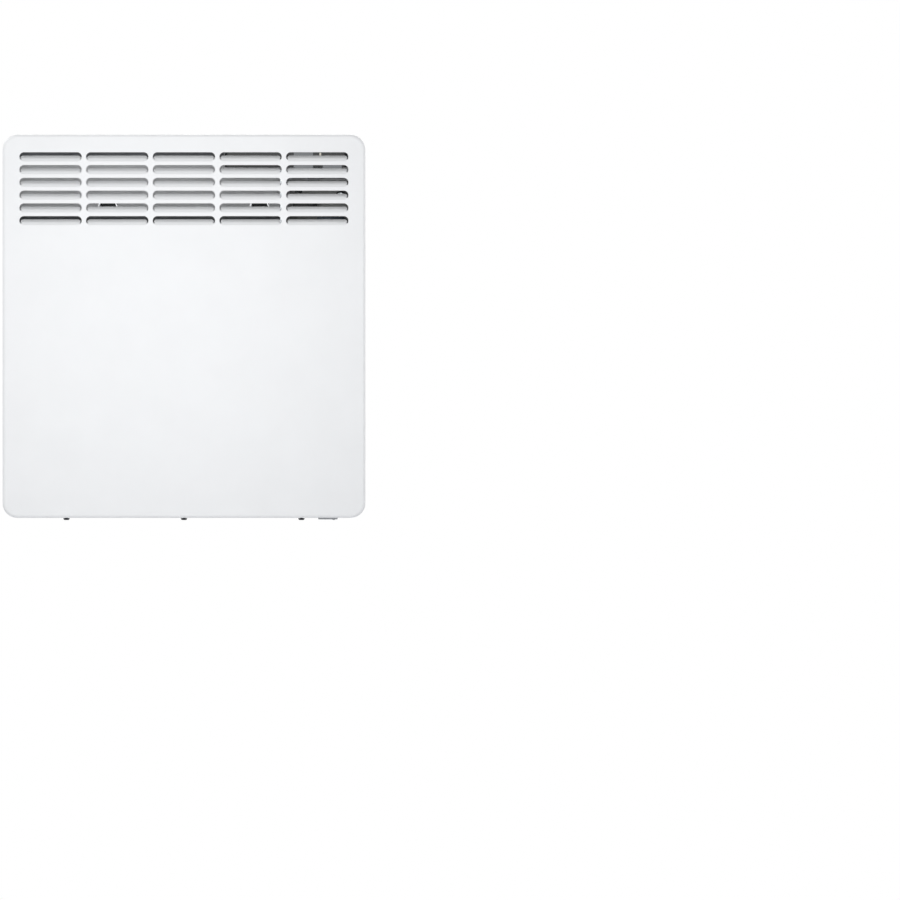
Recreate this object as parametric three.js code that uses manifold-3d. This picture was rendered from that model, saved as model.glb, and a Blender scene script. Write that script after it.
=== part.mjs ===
// A wall panel convector heater on its wall bracket, in millimetres.
// X is to the right, Y is towards the wall and Z is up. The wall is the plane y = 0, and the origin is the
// middle of the bracket's lower rail, on its back face. In the casing's own frame, heights are taken from the
// casing's bottom edge, and "out" is the distance out from the wall.
import * as THREE from 'three';
import { mergeVertices } from 'three/addons/utils/BufferGeometryUtils.js';
import Module from 'manifold-3d';

// Fits
const seam = 0.3;
const runningFit = 0.3;

// How far a cutting shape runs past the face that it cuts
const past = 1;

// Casing
const casingWidth = 426;
const casingHeight = 450;
const casingReach = 100;
const wallGap = 22;
const cornerRadius = 17.5;
const bendRadius = 3;
const shellSteel = 1;
const shellWallDepth = 52;
const shellLipDepth = 16;
const traySteel = 0.9;
const trayWallDepth = 30;

// Louvres, pressed into the front in columns and rows
const louvreColumns = 5;
const louvreRows = 6;
const louvreColumnPitch = 78;
const louvreRowPitch = 15;
const louvreLength = 71.3;
const louvreHeight = 10.8;
const louvreGap = 3.9;
const louvreSink = 5.6;
const louvreTopMargin = 20.6;

// Air intake slots in the tray's floor
const intakeColumns = 5;
const intakeRows = 4;
const intakeLength = 50;
const intakeWidth = 3.8;
const intakeBar = 8;
const intakeRowPitch = 12;
const intakeStandoff = 12;
const intakeMargin = 29;

// Casing screws
const casingScrewPitch = 138;
const casingScrewDiameter = 4;
const casingScrewLength = 9;
const casingScrewHead = 8;
const casingScrewHeadHeight = 2.3;
const casingScrewSetback = 9;
const casingScrewRecessLength = 4;
const casingScrewRecessWidth = 1;
const casingScrewRecessDepth = 1.2;

// Wall bracket
const bracketSteel = 1.5;
const uprightFromCompartment = 30;
const uprightWidth = 26;
const uprightBottom = 58;
const uprightTopMargin = 66;
const railHeight = 30;
const railLip = 6;
const lowerRailHeight = 120;
const upperRailMargin = 120;
const wallScrewSlotLength = 14;
const wallScrewSlotWidth = 6;
const wallScrewSlotFromUpright = 39;

// Hooks, latches and the tray windows that they reach through
const windowWidth = 20;
const hookWidth = 18;
const hookThickness = 2.5;
const hookLip = 7.5;
const hookArmTop = 68.5;
const hookWindowHeight = 12.8;
const hookNoseGap = 1.2;
const latchPivotMargin = 79;
const latchPivotOut = 8;
const latchWidth = 18;
const latchArm = 3.4;
const latchHeadTop = 5.6;
const latchHeadBottom = 4.6;
const latchHeadDepth = 3.7;
const latchHeadChamfer = 2.6;
const latchHub = 7;
const latchPinDiameter = 3;
const latchPinHead = 5;
const latchPinHeadLength = 1.2;
const latchTabHeight = 28;
const latchTabThickness = 3;
const latchWindowBelow = 9.5;
const latchWindowAbove = 2.6;
const springLedgeDrop = 15;
const springDiameter = 6;
const springWire = 0.8;
const springTurns = 5;
const springFromPivot = 8;

// Heat shields and the wall of the electrical compartment
const shieldSteel = 0.8;
const frontShieldGap = 12.7;
const frontShieldMargin = 4;
const frontShieldBottom = 30;
const frontShieldTopMargin = 115;
const rearShieldStandoff = 12;
const rearShieldMargin = 35;
const rearShieldBottom = 82;
const rearShieldTopMargin = 150;
const compartmentWidth = 94;
const compartmentTopMargin = 42;
const compartmentFoot = 6;
const compartmentSteel = 1;
const leadNotchHeight = 22;
const leadNotchDepth = 12;

// Heating element: a sheathed rod in an extruded profile
const elementHeight = 130;
const rodDiameter = 8;
const rodMargin = 21;
const rodPastWall = 8;
const profileMargin = 33;
const profileArmPastHalfDuct = 0.75;
const profileArmThickness = 3;
const profileHub = 8;
const profileFinLength = 9;
const profileFinThickness = 1.6;
const profileFins = 3;
const profileFinPitch = 6;
const profileFinFromTip = 1;
const profileEndGap = 8;
const bushDiameter = 13.4;
const bushFlange = 20;
const bushLength = 9;
const bushFlangeThickness = 3;
const elementBracketMargin = 26;
const elementBracketWidth = 34;
const elementBracketFoot = 14;
const terminalStud = 4;
const terminalStudLength = 4;
const terminalTabLength = 8;
const terminalTabRoot = 1;
const terminalTabWidth = 6.3;
const terminalTabThickness = 0.8;

// Thermal cut-out in the compartment's wall
const cutoutTopMargin = 150;
const cutoutDiameter = 16;
const cutoutFlange = 22;
const cutoutFlangeThickness = 1.5;
const cutoutLength = 12;
const cutoutReach = 4;

// Cable gland and terminal block
const glandMargin = 63;
const glandHeight = 40;
const glandBore = 7;
const glandThread = 12;
const glandCollar = 20;
const glandCollarDepth = 5;
const glandCollarChamfer = 2.5;
const glandInside = 9;
const glandNutFlats = 18;
const glandNutThickness = 5;
const blockMargin = 63;
const blockHeight = 84;
const blockWidth = 32;
const blockTall = 20;
const blockDepth = 15;
const blockPoles = 3;
const blockPoleBore = 5;
const blockPoleDepth = 6;
const earthScrewMargin = 25;
const earthScrewHeight = 84;
const earthScrewDiameter = 4;
const earthScrewHead = 8;
const earthScrewHeadHeight = 2.4;
const earthScrewLength = 5;

// Power board on its carrier
const boardMargin = 51;
const boardTopMargin = 116;
const boardWidth = 76;
const boardTall = 124;
const boardThickness = 1.6;
const boardStandoff = 12;
const carrierMargin = 3;
const carrierThickness = 2;
const carrierStandoff = 6;
const postDiameter = 6;
const postInset = 6;
const relayPlace = [-20, 36];
const relaySize = [28, 15, 13];
const transformerPlace = [10, 8];
const transformerSize = [32, 24, 27];
const bobbinSize = [22, 31, 21];
const capacitorPlace = [22, 44];
const capacitorDiameter = 12.5;
const capacitorLength = 22;

// Control unit, let into the top of the shell
const controlMargin = 93;
const controlFromFront = 10;
const controlFromTray = 4;
const fasciaWidth = 140;
const fasciaThickness = 2.5;
const fasciaRadius = 4;
const housingWall = 3;
const housingOverlap = 1;
const housingDrop = 35;
const housingFloor = 2;
const boardRestReach = 2.5;
const boardRestWidth = 6;
const displayPlace = -42;
const displayWidth = 40;
const displayDepth = 20;
const displayRadius = 2;
const displayGlass = 1.5;
const displayLedge = 1;
const displayModuleThickness = 4;
const buttonWidth = 11;
const buttonDepth = 8;
const buttonRadius = 2;
const buttonPitch = 17;
const buttonFirst = -8;
const buttonFlange = 1;
const buttonFlangeThickness = 1;
const buttonStem = 4;
const buttonStemLength = 3;
const buttonTravel = 0.6;
const buttonNames = ['menu', 'minus', 'plus', 'timer', 'power'];
const tactSize = 6;
const tactHeight = 3.2;
const tactPlungerDiameter = 3;
const tactPlungerHeight = 1;
const controlBoardThickness = 1.6;
const controlBoardGap = 1;

// Mains switch in the tray's floor
const switchMargin = 44;
const switchFromFront = 32;
const switchBezelWidth = 22.8;
const switchBezelDepth = 15.4;
const switchBezelBottom = -1.9;
const switchBezelChamfer = 0.5;
const switchBodyWidth = 20.4;
const switchBodyDepth = 13;
const switchBodyTop = 18;
const switchWall = 0.7;
const switchCavityTop = 9;
const rockerHalf = 8.6;
const rockerDepth = 11;
const rockerTilt = 8;
const rockerPivotHeight = 3;
const rockerFaceDrop = 3.5;
const rockerEndHeight = 1;
const rockerTopHalf = 6.4;
const rockerTopAbovePivot = 3.6;
const trunnionDiameter = 2.4;
const trunnionReach = 0.55;
const spadeWidth = 6.3;
const spadeThickness = 0.8;
const spadeLength = 8;
const spadeSpread = 5;
const spadeRoot = 1;

// Room sensor on the tray's floor
const sensorMargin = 23;
const sensorFromFront = 22;
const sensorBead = 4;
const sensorHeight = 9;
const clipWidth = 9;
const clipDepth = 6;
const clipFork = 3;
const clipMouth = 3.6;
const sensorLength = 8;

// Inner leads
const leadDiameter = 2.6;
const leadSides = 8;
const floorLeadOut = 7;
const floorLeadHeight = 13;
const leadStub = 12;
const feedLeadPole = 10;
const feedLeadRise = 6;
const feedLeadBow = [16, 14, 10];
const feedLeadBack = 8;
const feedLeadFall = 24;
const rightLeadStub = 5;
const rightLeadReach = 9;
const rightLeadBack = 4;
const rightLeadRise = 24;
const rightLeadFall = 40;
const ribbonWidth = 14;
const ribbonThickness = 1.2;

const finishes = {
  whiteSteel: { color: '#f3f4f6', roughness: 0.42, metalness: 0.05 },
  zincSteel: { color: '#b9bdc0', roughness: 0.38, metalness: 0.9 },
  aluminium: { color: '#c9ccce', roughness: 0.35, metalness: 0.9 },
  darkScrew: { color: '#3b3c3f', roughness: 0.45, metalness: 0.7 },
  springSteel: { color: '#9a9ea2', roughness: 0.3, metalness: 0.9 },
  blackPlastic: { color: '#1b1c1e', roughness: 0.5, metalness: 0 },
  greyPlastic: { color: '#b4b6b8', roughness: 0.45, metalness: 0 },
  whitePlastic: { color: '#e9eaec', roughness: 0.4, metalness: 0 },
  naturalPlastic: { color: '#d8d4c8', roughness: 0.5, metalness: 0 },
  ceramic: { color: '#ece8dc', roughness: 0.6, metalness: 0 },
  boardGreen: { color: '#1f5a3a', roughness: 0.45, metalness: 0 },
  glass: { color: '#15181b', roughness: 0.08, metalness: 0 },
  leadWhite: { color: '#e4e2dc', roughness: 0.55, metalness: 0 },
  leadBrown: { color: '#6b4226', roughness: 0.55, metalness: 0 },
  leadEarth: { color: '#7fae3a', roughness: 0.55, metalness: 0 },
};

const wasm = await Module();
wasm.setup();

function toSolid(geometry) {
  const bare = geometry.clone();
  bare.deleteAttribute('normal');
  bare.deleteAttribute('uv');
  const merged = mergeVertices(bare);
  const vertProperties = merged.attributes.position.array;
  const triVerts = merged.index.array;
  return new wasm.Manifold(new wasm.Mesh({ numProp: 3, vertProperties, triVerts }));
}

function toGeometry(solid) {
  const mesh = solid.getMesh();
  const geometry = new THREE.BufferGeometry();
  geometry.setAttribute('position', new THREE.BufferAttribute(mesh.vertProperties, 3));
  geometry.setIndex(new THREE.BufferAttribute(mesh.triVerts, 1));
  return geometry;
}

const joined = (...shapes) => toGeometry(shapes.map(toSolid).reduce((whole, next) => whole.add(next)));
const cut = (shape, ...tools) =>
  toGeometry(tools.map(toSolid).reduce((rest, tool) => rest.subtract(tool), toSolid(shape)));
const shared = (shape, other) => toGeometry(toSolid(shape).intersect(toSolid(other)));

// A box between limits in x, out from the wall, and up
function box([left, right], [near, far], [bottom, top]) {
  const shape = new THREE.BoxGeometry(right - left, far - near, top - bottom);
  return shape.translate((left + right) / 2, -(near + far) / 2, (bottom + top) / 2);
}

const outline = (points) => new THREE.Shape(points.map(([u, v]) => new THREE.Vector2(u, v)));

function ring(radius, sides, turn = 0) {
  const corner = (k) => turn + (2 * Math.PI * k) / sides;
  const corners = Array.from({ length: sides }, (_, k) => corner(k));
  return corners.map((angle) => [radius * Math.cos(angle), radius * Math.sin(angle)]);
}

function roundedRectangle(width, height, radius, middleX = 0, middleY = 0) {
  const shape = new THREE.Shape();
  const right = width / 2 - radius;
  const top = height / 2 - radius;
  [[right, top], [-right, top], [-right, -top], [right, -top]].forEach(([x, y], quarter) => {
    const start = (quarter * Math.PI) / 2;
    shape.absarc(middleX + x, middleY + y, radius, start, start + Math.PI / 2);
  });
  return shape;
}

// A slot's outline, with a half circle at each end
function stadium(length, width, middleX, middleY) {
  const shape = new THREE.Shape();
  const side = (length - width) / 2;
  shape.absarc(middleX + side, middleY, width / 2, -Math.PI / 2, Math.PI / 2);
  shape.absarc(middleX - side, middleY, width / 2, Math.PI / 2, (3 * Math.PI) / 2);
  return shape;
}

const extruded = (shape, depth, arcSteps = 3) =>
  new THREE.ExtrudeGeometry(shape, { depth, bevelEnabled: false, curveSegments: arcSteps });

// An outline in x and height, pushed out from the wall
const facing = (shape, near, far, arcSteps) =>
  extruded(shape, far - near, arcSteps).rotateX(Math.PI / 2).translate(0, -near, 0);

// An outline in x and y, pushed up
const standing = (shape, bottom, top, arcSteps) =>
  extruded(shape, top - bottom, arcSteps).translate(0, 0, bottom);

// An outline of [out, height] points, pushed to the right
function sideways(points, left, right) {
  const turned = new THREE.Matrix4().makeBasis(
    new THREE.Vector3(0, 1, 0),
    new THREE.Vector3(0, 0, 1),
    new THREE.Vector3(1, 0, 0),
  );
  const shape = outline(points.map(([out, height]) => [-out, height]));
  return extruded(shape, right - left).applyMatrix4(turned).translate(left, 0, 0);
}

// A round bar along x, y or z, centred on its middle
function bar(diameter, length, axis, sides = 16) {
  const shape = new THREE.CylinderGeometry(diameter / 2, diameter / 2, length, sides);
  if (axis === 'x') shape.rotateZ(Math.PI / 2);
  if (axis === 'z') shape.rotateX(Math.PI / 2);
  return shape;
}

const at = (shape, x, out, height) => shape.translate(x, -out, height);

function piece(group, name, finish, geometry) {
  const mesh = new THREE.Mesh(geometry, new THREE.MeshStandardMaterial(finishes[finish]));
  mesh.name = name;
  group.add(mesh);
  return mesh;
}

// Places from the casing's edges, which several pieces share
const casingRight = casingWidth / 2;
const controlX = casingRight - controlMargin;
const controlNear = wallGap + trayWallDepth + controlFromTray;
const fasciaDepth = casingReach - controlFromFront - controlNear;
const controlOut = controlNear + fasciaDepth / 2;
const boardX = casingRight - boardMargin;
const boardHeight = casingHeight - boardTopMargin;
const boardOut = wallGap + boardStandoff;
const carrierOut = wallGap + carrierStandoff;
const compartmentLeft = casingRight - compartmentWidth;
const compartmentTop = casingHeight - compartmentTopMargin;
const uprightSpacing = 2 * (compartmentLeft - uprightFromCompartment);
const wallScrewSlotSpread = uprightSpacing / 2 - wallScrewSlotFromUpright;
const glandX = casingRight - glandMargin;
const blockX = casingRight - blockMargin;
const earthScrewX = casingRight - earthScrewMargin;
const switchX = casingRight - switchMargin;
const switchOut = casingReach - switchFromFront;
const sensorX = casingRight - sensorMargin;
const sensorOut = casingReach - sensorFromFront;
const elementOut = (wallGap + casingReach) / 2;
const rodLeft = rodMargin - casingRight;
const rodRight = compartmentLeft + rodPastWall;
const profileLeft = profileMargin - casingRight;
const elementBracketLeft = elementBracketMargin - casingRight;
const cutoutHeight = casingHeight - cutoutTopMargin;
const frontShieldOut = casingReach - frontShieldGap;
const frontShieldLeft = frontShieldMargin - casingRight;
const frontShieldTop = casingHeight - frontShieldTopMargin;
const rearShieldOut = wallGap + rearShieldStandoff;
const ductDepth = frontShieldOut - rearShieldOut - shieldSteel;
const profileArm = ductDepth / 2 + profileArmPastHalfDuct;
const rearShieldLeft = rearShieldMargin - casingRight;
const rearShieldTop = casingHeight - rearShieldTopMargin;
const intakeLeft = intakeMargin - casingRight;
const intakeFirstOut = wallGap + intakeStandoff;
const uprightTop = casingHeight - uprightTopMargin;
const upperRailHeight = casingHeight - upperRailMargin;
const latchPivotHeight = casingHeight - latchPivotMargin;
const springLedgeHeight = latchPivotHeight - springLedgeDrop;

// Heights and depths that several pieces share
const shellInside = casingReach - shellSteel;
const trayInset = shellSteel + seam;
const trayFloorTop = trayInset + traySteel;
const trayFloorReach = casingReach - bendRadius;
const trayFloorHalf = casingRight - cornerRadius - seam;
const trayInside = wallGap + traySteel;
const onTray = trayInside + seam;
const rodBore = rodDiameter + 2 * runningFit;
const bushBore = bushDiameter + 2 * runningFit;
const uprightCentres = [-uprightSpacing / 2, uprightSpacing / 2];
const latchWindow = [latchPivotHeight - latchWindowBelow, latchPivotHeight + latchWindowAbove];
const hookWindow = [hookArmTop + seam - hookWindowHeight, hookArmTop + seam];
const casingScrewOut = casingReach - casingScrewSetback;
const casingScrewPlaces = [-casingScrewPitch, 0, casingScrewPitch];
const frontShieldRight = compartmentLeft - seam;

// A pan with rounded corners and a bent front edge, solid from near to far
function bentPan(inset, near) {
  const bend = bendRadius - inset;
  const shape = roundedRectangle(casingWidth - 2 * inset, casingHeight - 2 * inset, cornerRadius - inset);
  const far = casingReach - inset;
  const pan = new THREE.ExtrudeGeometry(shape, {
    depth: far - near - bend,
    curveSegments: 3,
    bevelThickness: bend,
    bevelSize: bend,
    bevelOffset: -bend,
    bevelSegments: 3,
  });
  return pan.rotateX(Math.PI / 2).translate(0, -near, casingHeight / 2);
}

// One louvre's pressed scoop, measured from the lower edge of its slot at x = 0
function louvreScoop() {
  const lipHeight = louvreHeight - louvreGap;
  const slope = louvreSink / lipHeight;
  const sheetAlongOut = shellSteel * Math.hypot(1, slope);
  const rootOut = casingReach - shellSteel / 2;
  const rootHeight = (shellSteel / 2 - sheetAlongOut) / slope;
  const over = shellSteel;
  const outer = sideways(
    [[rootOut, rootHeight], [rootOut, lipHeight], [casingReach - louvreSink - sheetAlongOut, lipHeight]],
    -louvreLength,
    louvreLength,
  );
  const inner = sideways(
    [
      [casingReach, 0],
      [casingReach + over, 0],
      [casingReach + over, lipHeight + over],
      [casingReach - louvreSink - slope * over, lipHeight + over],
    ],
    -louvreLength,
    louvreLength,
  );
  const press = shared(outer, louvreSlot(shellSteel));
  return cut(press, shared(inner, louvreSlot(0)));
}

function louvreSlot(margin) {
  const slot = stadium(louvreLength + 2 * margin, louvreHeight + 2 * margin, 0, louvreHeight / 2);
  return facing(slot, casingReach - 3 * louvreSink, casingReach + 3 * louvreSink);
}

function louvrePlaces() {
  const places = [];
  for (let column = 0; column < louvreColumns; column += 1) {
    for (let row = 0; row < louvreRows; row += 1) {
      const x = (column - (louvreColumns - 1) / 2) * louvreColumnPitch;
      const top = casingHeight - louvreTopMargin - row * louvreRowPitch;
      places.push([x, top - louvreHeight]);
    }
  }
  return places;
}

function frontShell() {
  const back = casingReach - shellWallDepth;
  const lipEdge = casingReach - shellLipDepth;
  const flat = casingRight - cornerRadius;
  const behind = box([-casingWidth, casingWidth], [-casingReach, back], [-casingHeight, 2 * casingHeight]);
  const openFloor = box([-flat, flat], [back - seam, lipEdge], [-seam, trayInset]);
  const wide = fasciaWidth + 2 * seam;
  const deep = fasciaDepth + 2 * seam;
  const controlHole = standing(
    roundedRectangle(wide, deep, fasciaRadius + seam, controlX, -controlOut),
    casingHeight - 2 * shellSteel,
    casingHeight + shellSteel,
    2,
  );
  const screwHoles = casingScrewPlaces.map((x) =>
    at(bar(casingScrewDiameter + 2 * seam, 4 * shellSteel, 'z', 12), x, casingScrewOut, 0));
  const pan = cut(bentPan(0, back - cornerRadius), behind, bentPan(shellSteel, back - 2 * cornerRadius));
  const places = louvrePlaces();
  const slots = places.map(([x, bottom]) => louvreSlot(0).translate(x, 0, bottom));
  const scoop = louvreScoop();
  const scoops = places.map(([x, bottom]) => scoop.clone().translate(x, 0, bottom));
  return joined(cut(pan, openFloor, controlHole, ...screwHoles, ...slots), ...scoops);
}

function rearPanel() {
  const wide = casingWidth - 2 * trayInset;
  const tall = casingHeight - 2 * trayInset;
  const radius = cornerRadius - trayInset;
  const far = wallGap + trayWallDepth;
  const outer = roundedRectangle(wide, tall, radius, 0, casingHeight / 2);
  const inner = roundedRectangle(
    wide - 2 * traySteel, tall - 2 * traySteel, radius - traySteel, 0, casingHeight / 2);
  const tray = cut(facing(outer, wallGap, far), facing(inner, trayInside, far + traySteel));
  const across = [-trayFloorHalf, trayFloorHalf];
  const floor = box(across, [far - traySteel, trayFloorReach], [trayInset, trayFloorTop]);
  const through = [wallGap - traySteel, trayInside + traySteel];
  const windows = uprightCentres.flatMap((x) => {
    const opening = [x - windowWidth / 2, x + windowWidth / 2];
    return [box(opening, through, latchWindow), box(opening, through, hookWindow)];
  });
  const floorThrough = [trayInset - traySteel, trayFloorTop + traySteel];
  const slots = [];
  for (let row = 0; row < intakeRows; row += 1) {
    for (let column = 0; column < intakeColumns; column += 1) {
      const left = intakeLeft + column * (intakeLength + intakeBar);
      const near = intakeFirstOut + row * intakeRowPitch;
      slots.push(box([left, left + intakeLength], [near, near + intakeWidth], floorThrough));
    }
  }
  const screwHoles = casingScrewPlaces.map((x) =>
    at(bar(casingScrewDiameter + 2 * seam, 6 * traySteel, 'z', 12), x, casingScrewOut, trayInset));
  const switchHalfWidth = switchBodyWidth / 2 + seam;
  const switchHalfDepth = switchBodyDepth / 2 + seam;
  const switchHole = box(
    [switchX - switchHalfWidth, switchX + switchHalfWidth],
    [switchOut - switchHalfDepth, switchOut + switchHalfDepth],
    floorThrough,
  );
  const glandHole = at(bar(glandThread + 2 * seam, 6 * traySteel, 'y'), glandX, wallGap, glandHeight);
  const earthHole = at(
    bar(earthScrewDiameter + 2 * seam, 6 * traySteel, 'y', 12), earthScrewX, wallGap, earthScrewHeight);
  return cut(joined(tray, floor), ...windows, ...slots, ...screwHoles, switchHole, glandHole, earthHole);
}

// A pan-head screw under the shell's lip, through the lip and the tray's floor
function casingScrew() {
  const radius = casingScrewHead / 2;
  const round = casingScrewHeadHeight / 2;
  const profile = [
    [0, -casingScrewHeadHeight],
    [radius - round, -casingScrewHeadHeight],
    [radius, -round],
    [radius, 0],
    [casingScrewDiameter / 2, 0],
    [casingScrewDiameter / 2, casingScrewLength],
    [0, casingScrewLength],
  ];
  const turned = new THREE.LatheGeometry(profile.map(([r, z]) => new THREE.Vector2(r, z)), 16);
  const along = [-casingScrewRecessLength / 2, casingScrewRecessLength / 2];
  const across = [-casingScrewRecessWidth / 2, casingScrewRecessWidth / 2];
  const deep = [-casingScrewHeadHeight - past, -casingScrewHeadHeight + casingScrewRecessDepth];
  return cut(turned.rotateX(Math.PI / 2), box(along, across, deep), box(across, along, deep));
}

function casing() {
  const group = new THREE.Group();
  piece(group, 'front_shell', 'whiteSteel', frontShell());
  piece(group, 'rear_panel', 'whiteSteel', rearPanel());
  ['left', 'middle', 'right'].forEach((side, index) => {
    const screw = piece(group, `casing_screw_${side}`, 'darkScrew', casingScrew());
    screw.position.set(casingScrewPlaces[index], -casingScrewOut, -seam);
  });
  return group;
}

// One upright: a channel open to the front, with its hook, spring ledge and latch pin holes
function upright(x) {
  const half = uprightWidth / 2;
  const reach = wallGap - seam;
  const channel = cut(
    box([x - half, x + half], [0, reach], [uprightBottom, uprightTop]),
    box(
      [x - half + bracketSteel, x + half - bracketSteel],
      [bracketSteel, reach + bracketSteel],
      [uprightBottom - bracketSteel, uprightTop + bracketSteel],
    ),
  );
  const inside = half - bracketSteel / 2;
  const hookNear = trayInside + hookNoseGap;
  const hookFar = hookNear + hookThickness;
  const armBottom = hookArmTop - hookThickness;
  const hook = sideways(
    [
      [bracketSteel / 2, armBottom],
      [hookFar, armBottom],
      [hookFar, hookArmTop + hookLip],
      [hookNear, hookArmTop + hookLip],
      [hookNear, hookArmTop],
      [bracketSteel / 2, hookArmTop],
    ],
    x - hookWidth / 2,
    x + hookWidth / 2,
  );
  const ledge = box(
    [x - inside, x + inside],
    [bracketSteel / 2, reach],
    [springLedgeHeight - bracketSteel, springLedgeHeight],
  );
  const pinHole = at(
    bar(latchPinDiameter + 2 * runningFit, uprightWidth + 2 * bracketSteel, 'x', 12),
    x,
    latchPivotOut,
    latchPivotHeight,
  );
  return cut(joined(channel, hook, ledge), pinHole);
}

// A rail between the uprights: a flat strip with its edges folded out for stiffness
function rail(height) {
  const half = uprightSpacing / 2 - uprightWidth / 2 + bracketSteel / 2;
  const bottom = height - railHeight / 2;
  const top = height + railHeight / 2;
  const folded = sideways(
    [
      [0, bottom],
      [railLip, bottom],
      [railLip, bottom + bracketSteel],
      [bracketSteel, bottom + bracketSteel],
      [bracketSteel, top - bracketSteel],
      [railLip, top - bracketSteel],
      [railLip, top],
      [0, top],
    ],
    -half,
    half,
  );
  const slots = [-wallScrewSlotSpread, wallScrewSlotSpread].map((x) => {
    const shape = stadium(wallScrewSlotLength, wallScrewSlotWidth, x, height);
    return facing(shape, -bracketSteel, 2 * bracketSteel);
  });
  return cut(folded, ...slots);
}

// A latch: hub on the pin, arm with a head through the tray's window, and a release tab, from its pivot
function latch() {
  const headNear = trayInside + runningFit + seam - latchPivotOut;
  const headFar = headNear + latchHeadDepth;
  const halfArm = latchArm / 2;
  const body = sideways(
    [
      [0, -halfArm],
      [headNear, -halfArm],
      [headNear, -latchHeadBottom],
      [headFar, -latchHeadBottom],
      [headFar, halfArm],
      [headFar - latchHeadChamfer, latchHeadTop],
      [headNear, latchHeadTop],
      [headNear, halfArm],
      [latchTabThickness / 2, halfArm],
      [latchTabThickness / 2, latchTabHeight],
      [-latchTabThickness / 2, latchTabHeight],
      [-latchTabThickness / 2, 0],
    ],
    -latchWidth / 2,
    latchWidth / 2,
  );
  const hubLength = uprightWidth - 2 * bracketSteel - 2 * runningFit;
  const hub = bar(latchHub, hubLength, 'x');
  return cut(joined(body, hub), bar(latchPinDiameter + 2 * runningFit, uprightWidth, 'x', 12));
}

function latchPin() {
  const shank = uprightWidth + 2 * runningFit;
  const head = (side) => bar(latchPinHead, latchPinHeadLength, 'x', 12)
    .translate(side * (shank / 2 + latchPinHeadLength / 2), 0, 0);
  return joined(bar(latchPinDiameter, shank + latchPinHeadLength, 'x', 12), head(-1), head(1));
}

// The helix of a latch spring between its ledge and the latch's arm, with its end points
class SpringLine extends THREE.Curve {
  getPoint(along, target = new THREE.Vector3()) {
    const radius = (springDiameter - springWire) / 2;
    const turn = 2 * Math.PI * springTurns * along;
    const bottom = springLedgeHeight + seam + springWire / 2;
    const top = latchPivotHeight - latchArm / 2 - seam - springWire / 2;
    return target.set(radius * Math.cos(turn), radius * Math.sin(turn), bottom + (top - bottom) * along);
  }
}

const springStepsPerTurn = 8;

function latchSpring() {
  const line = new SpringLine();
  return new THREE.ExtrudeGeometry(outline(ring(springWire / 2, 5)), {
    steps: springTurns * springStepsPerTurn,
    extrudePath: line,
  });
}

// The least gap between one turn of the spring and the next, on the points that it is drawn through
function springGap() {
  const steps = springTurns * springStepsPerTurn;
  const points = Array.from({ length: steps + 1 }, (_, step) => new SpringLine().getPoint(step / steps));
  let least = Infinity;
  points.forEach((point, first) => {
    for (let second = first + springStepsPerTurn / 2; second <= steps; second += 1) {
      least = Math.min(least, point.distanceTo(points[second]) - springWire);
    }
  });
  return least;
}
console.log(`latch spring: least gap between turns ${springGap().toFixed(2)} mm`);

function wallBracket() {
  const group = new THREE.Group();
  const frame = joined(...uprightCentres.map(upright), rail(lowerRailHeight), rail(upperRailHeight));
  piece(group, 'wall_bracket', 'whiteSteel', frame);
  ['left', 'right'].forEach((side, index) => {
    const x = uprightCentres[index];
    const body = piece(group, `bracket_latch_${side}`, 'blackPlastic', latch());
    body.position.set(x, -latchPivotOut, latchPivotHeight);
    const pin = piece(group, `latch_pin_${side}`, 'zincSteel', latchPin());
    pin.position.set(x, -latchPivotOut, latchPivotHeight);
    const spring = piece(group, `latch_spring_${side}`, 'springSteel', latchSpring());
    spring.position.set(x, -latchPivotOut - springFromPivot, 0);
  });
  return group;
}

// The front shield closes the heating duct at the front and at the left
function frontHeatShield() {
  const far = frontShieldOut + shieldSteel;
  const tall = [frontShieldBottom, frontShieldTop];
  const face = box([frontShieldLeft, frontShieldRight], [frontShieldOut, far], tall);
  const wing = box([frontShieldLeft, frontShieldLeft + shieldSteel], [onTray, far], tall);
  return joined(face, wing);
}

// The rear shield stands off the tray on a foot folded along each long edge
function rearHeatShield() {
  const far = rearShieldOut + shieldSteel;
  return sideways(
    [
      [onTray, rearShieldBottom],
      [far, rearShieldBottom],
      [far, rearShieldTop],
      [onTray, rearShieldTop],
      [onTray, rearShieldTop - shieldSteel],
      [rearShieldOut, rearShieldTop - shieldSteel],
      [rearShieldOut, rearShieldBottom + shieldSteel],
      [onTray, rearShieldBottom + shieldSteel],
    ],
    rearShieldLeft,
    compartmentLeft - seam,
  );
}

// The compartment's wall is a Z in plan: a foot on the tray, a web, and a foot that the front shield lies on
function compartmentWall() {
  const right = compartmentLeft + compartmentSteel;
  const webFar = frontShieldOut - seam;
  const bottom = trayFloorTop + seam;
  const plan = outline([
    [compartmentLeft, -onTray],
    [compartmentLeft, -(webFar - compartmentSteel)],
    [compartmentLeft - compartmentFoot, -(webFar - compartmentSteel)],
    [compartmentLeft - compartmentFoot, -webFar],
    [right, -webFar],
    [right, -(onTray + compartmentSteel)],
    [right + compartmentFoot, -(onTray + compartmentSteel)],
    [right + compartmentFoot, -onTray],
  ]);
  const across = 4 * compartmentSteel;
  const cutoutBore = cutoutDiameter + 2 * seam;
  const bushHole = at(bar(bushBore, across, 'x'), compartmentLeft, elementOut, elementHeight);
  const cutoutHole = at(bar(cutoutBore, across, 'x'), compartmentLeft, elementOut, cutoutHeight);
  const leadNotch = box(
    [compartmentLeft - across, right + 2 * compartmentFoot],
    [onTray - seam, onTray + leadNotchDepth],
    [bottom - seam, leadNotchHeight],
  );
  return cut(standing(plan, bottom, compartmentTop), bushHole, cutoutHole, leadNotch);
}

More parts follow.
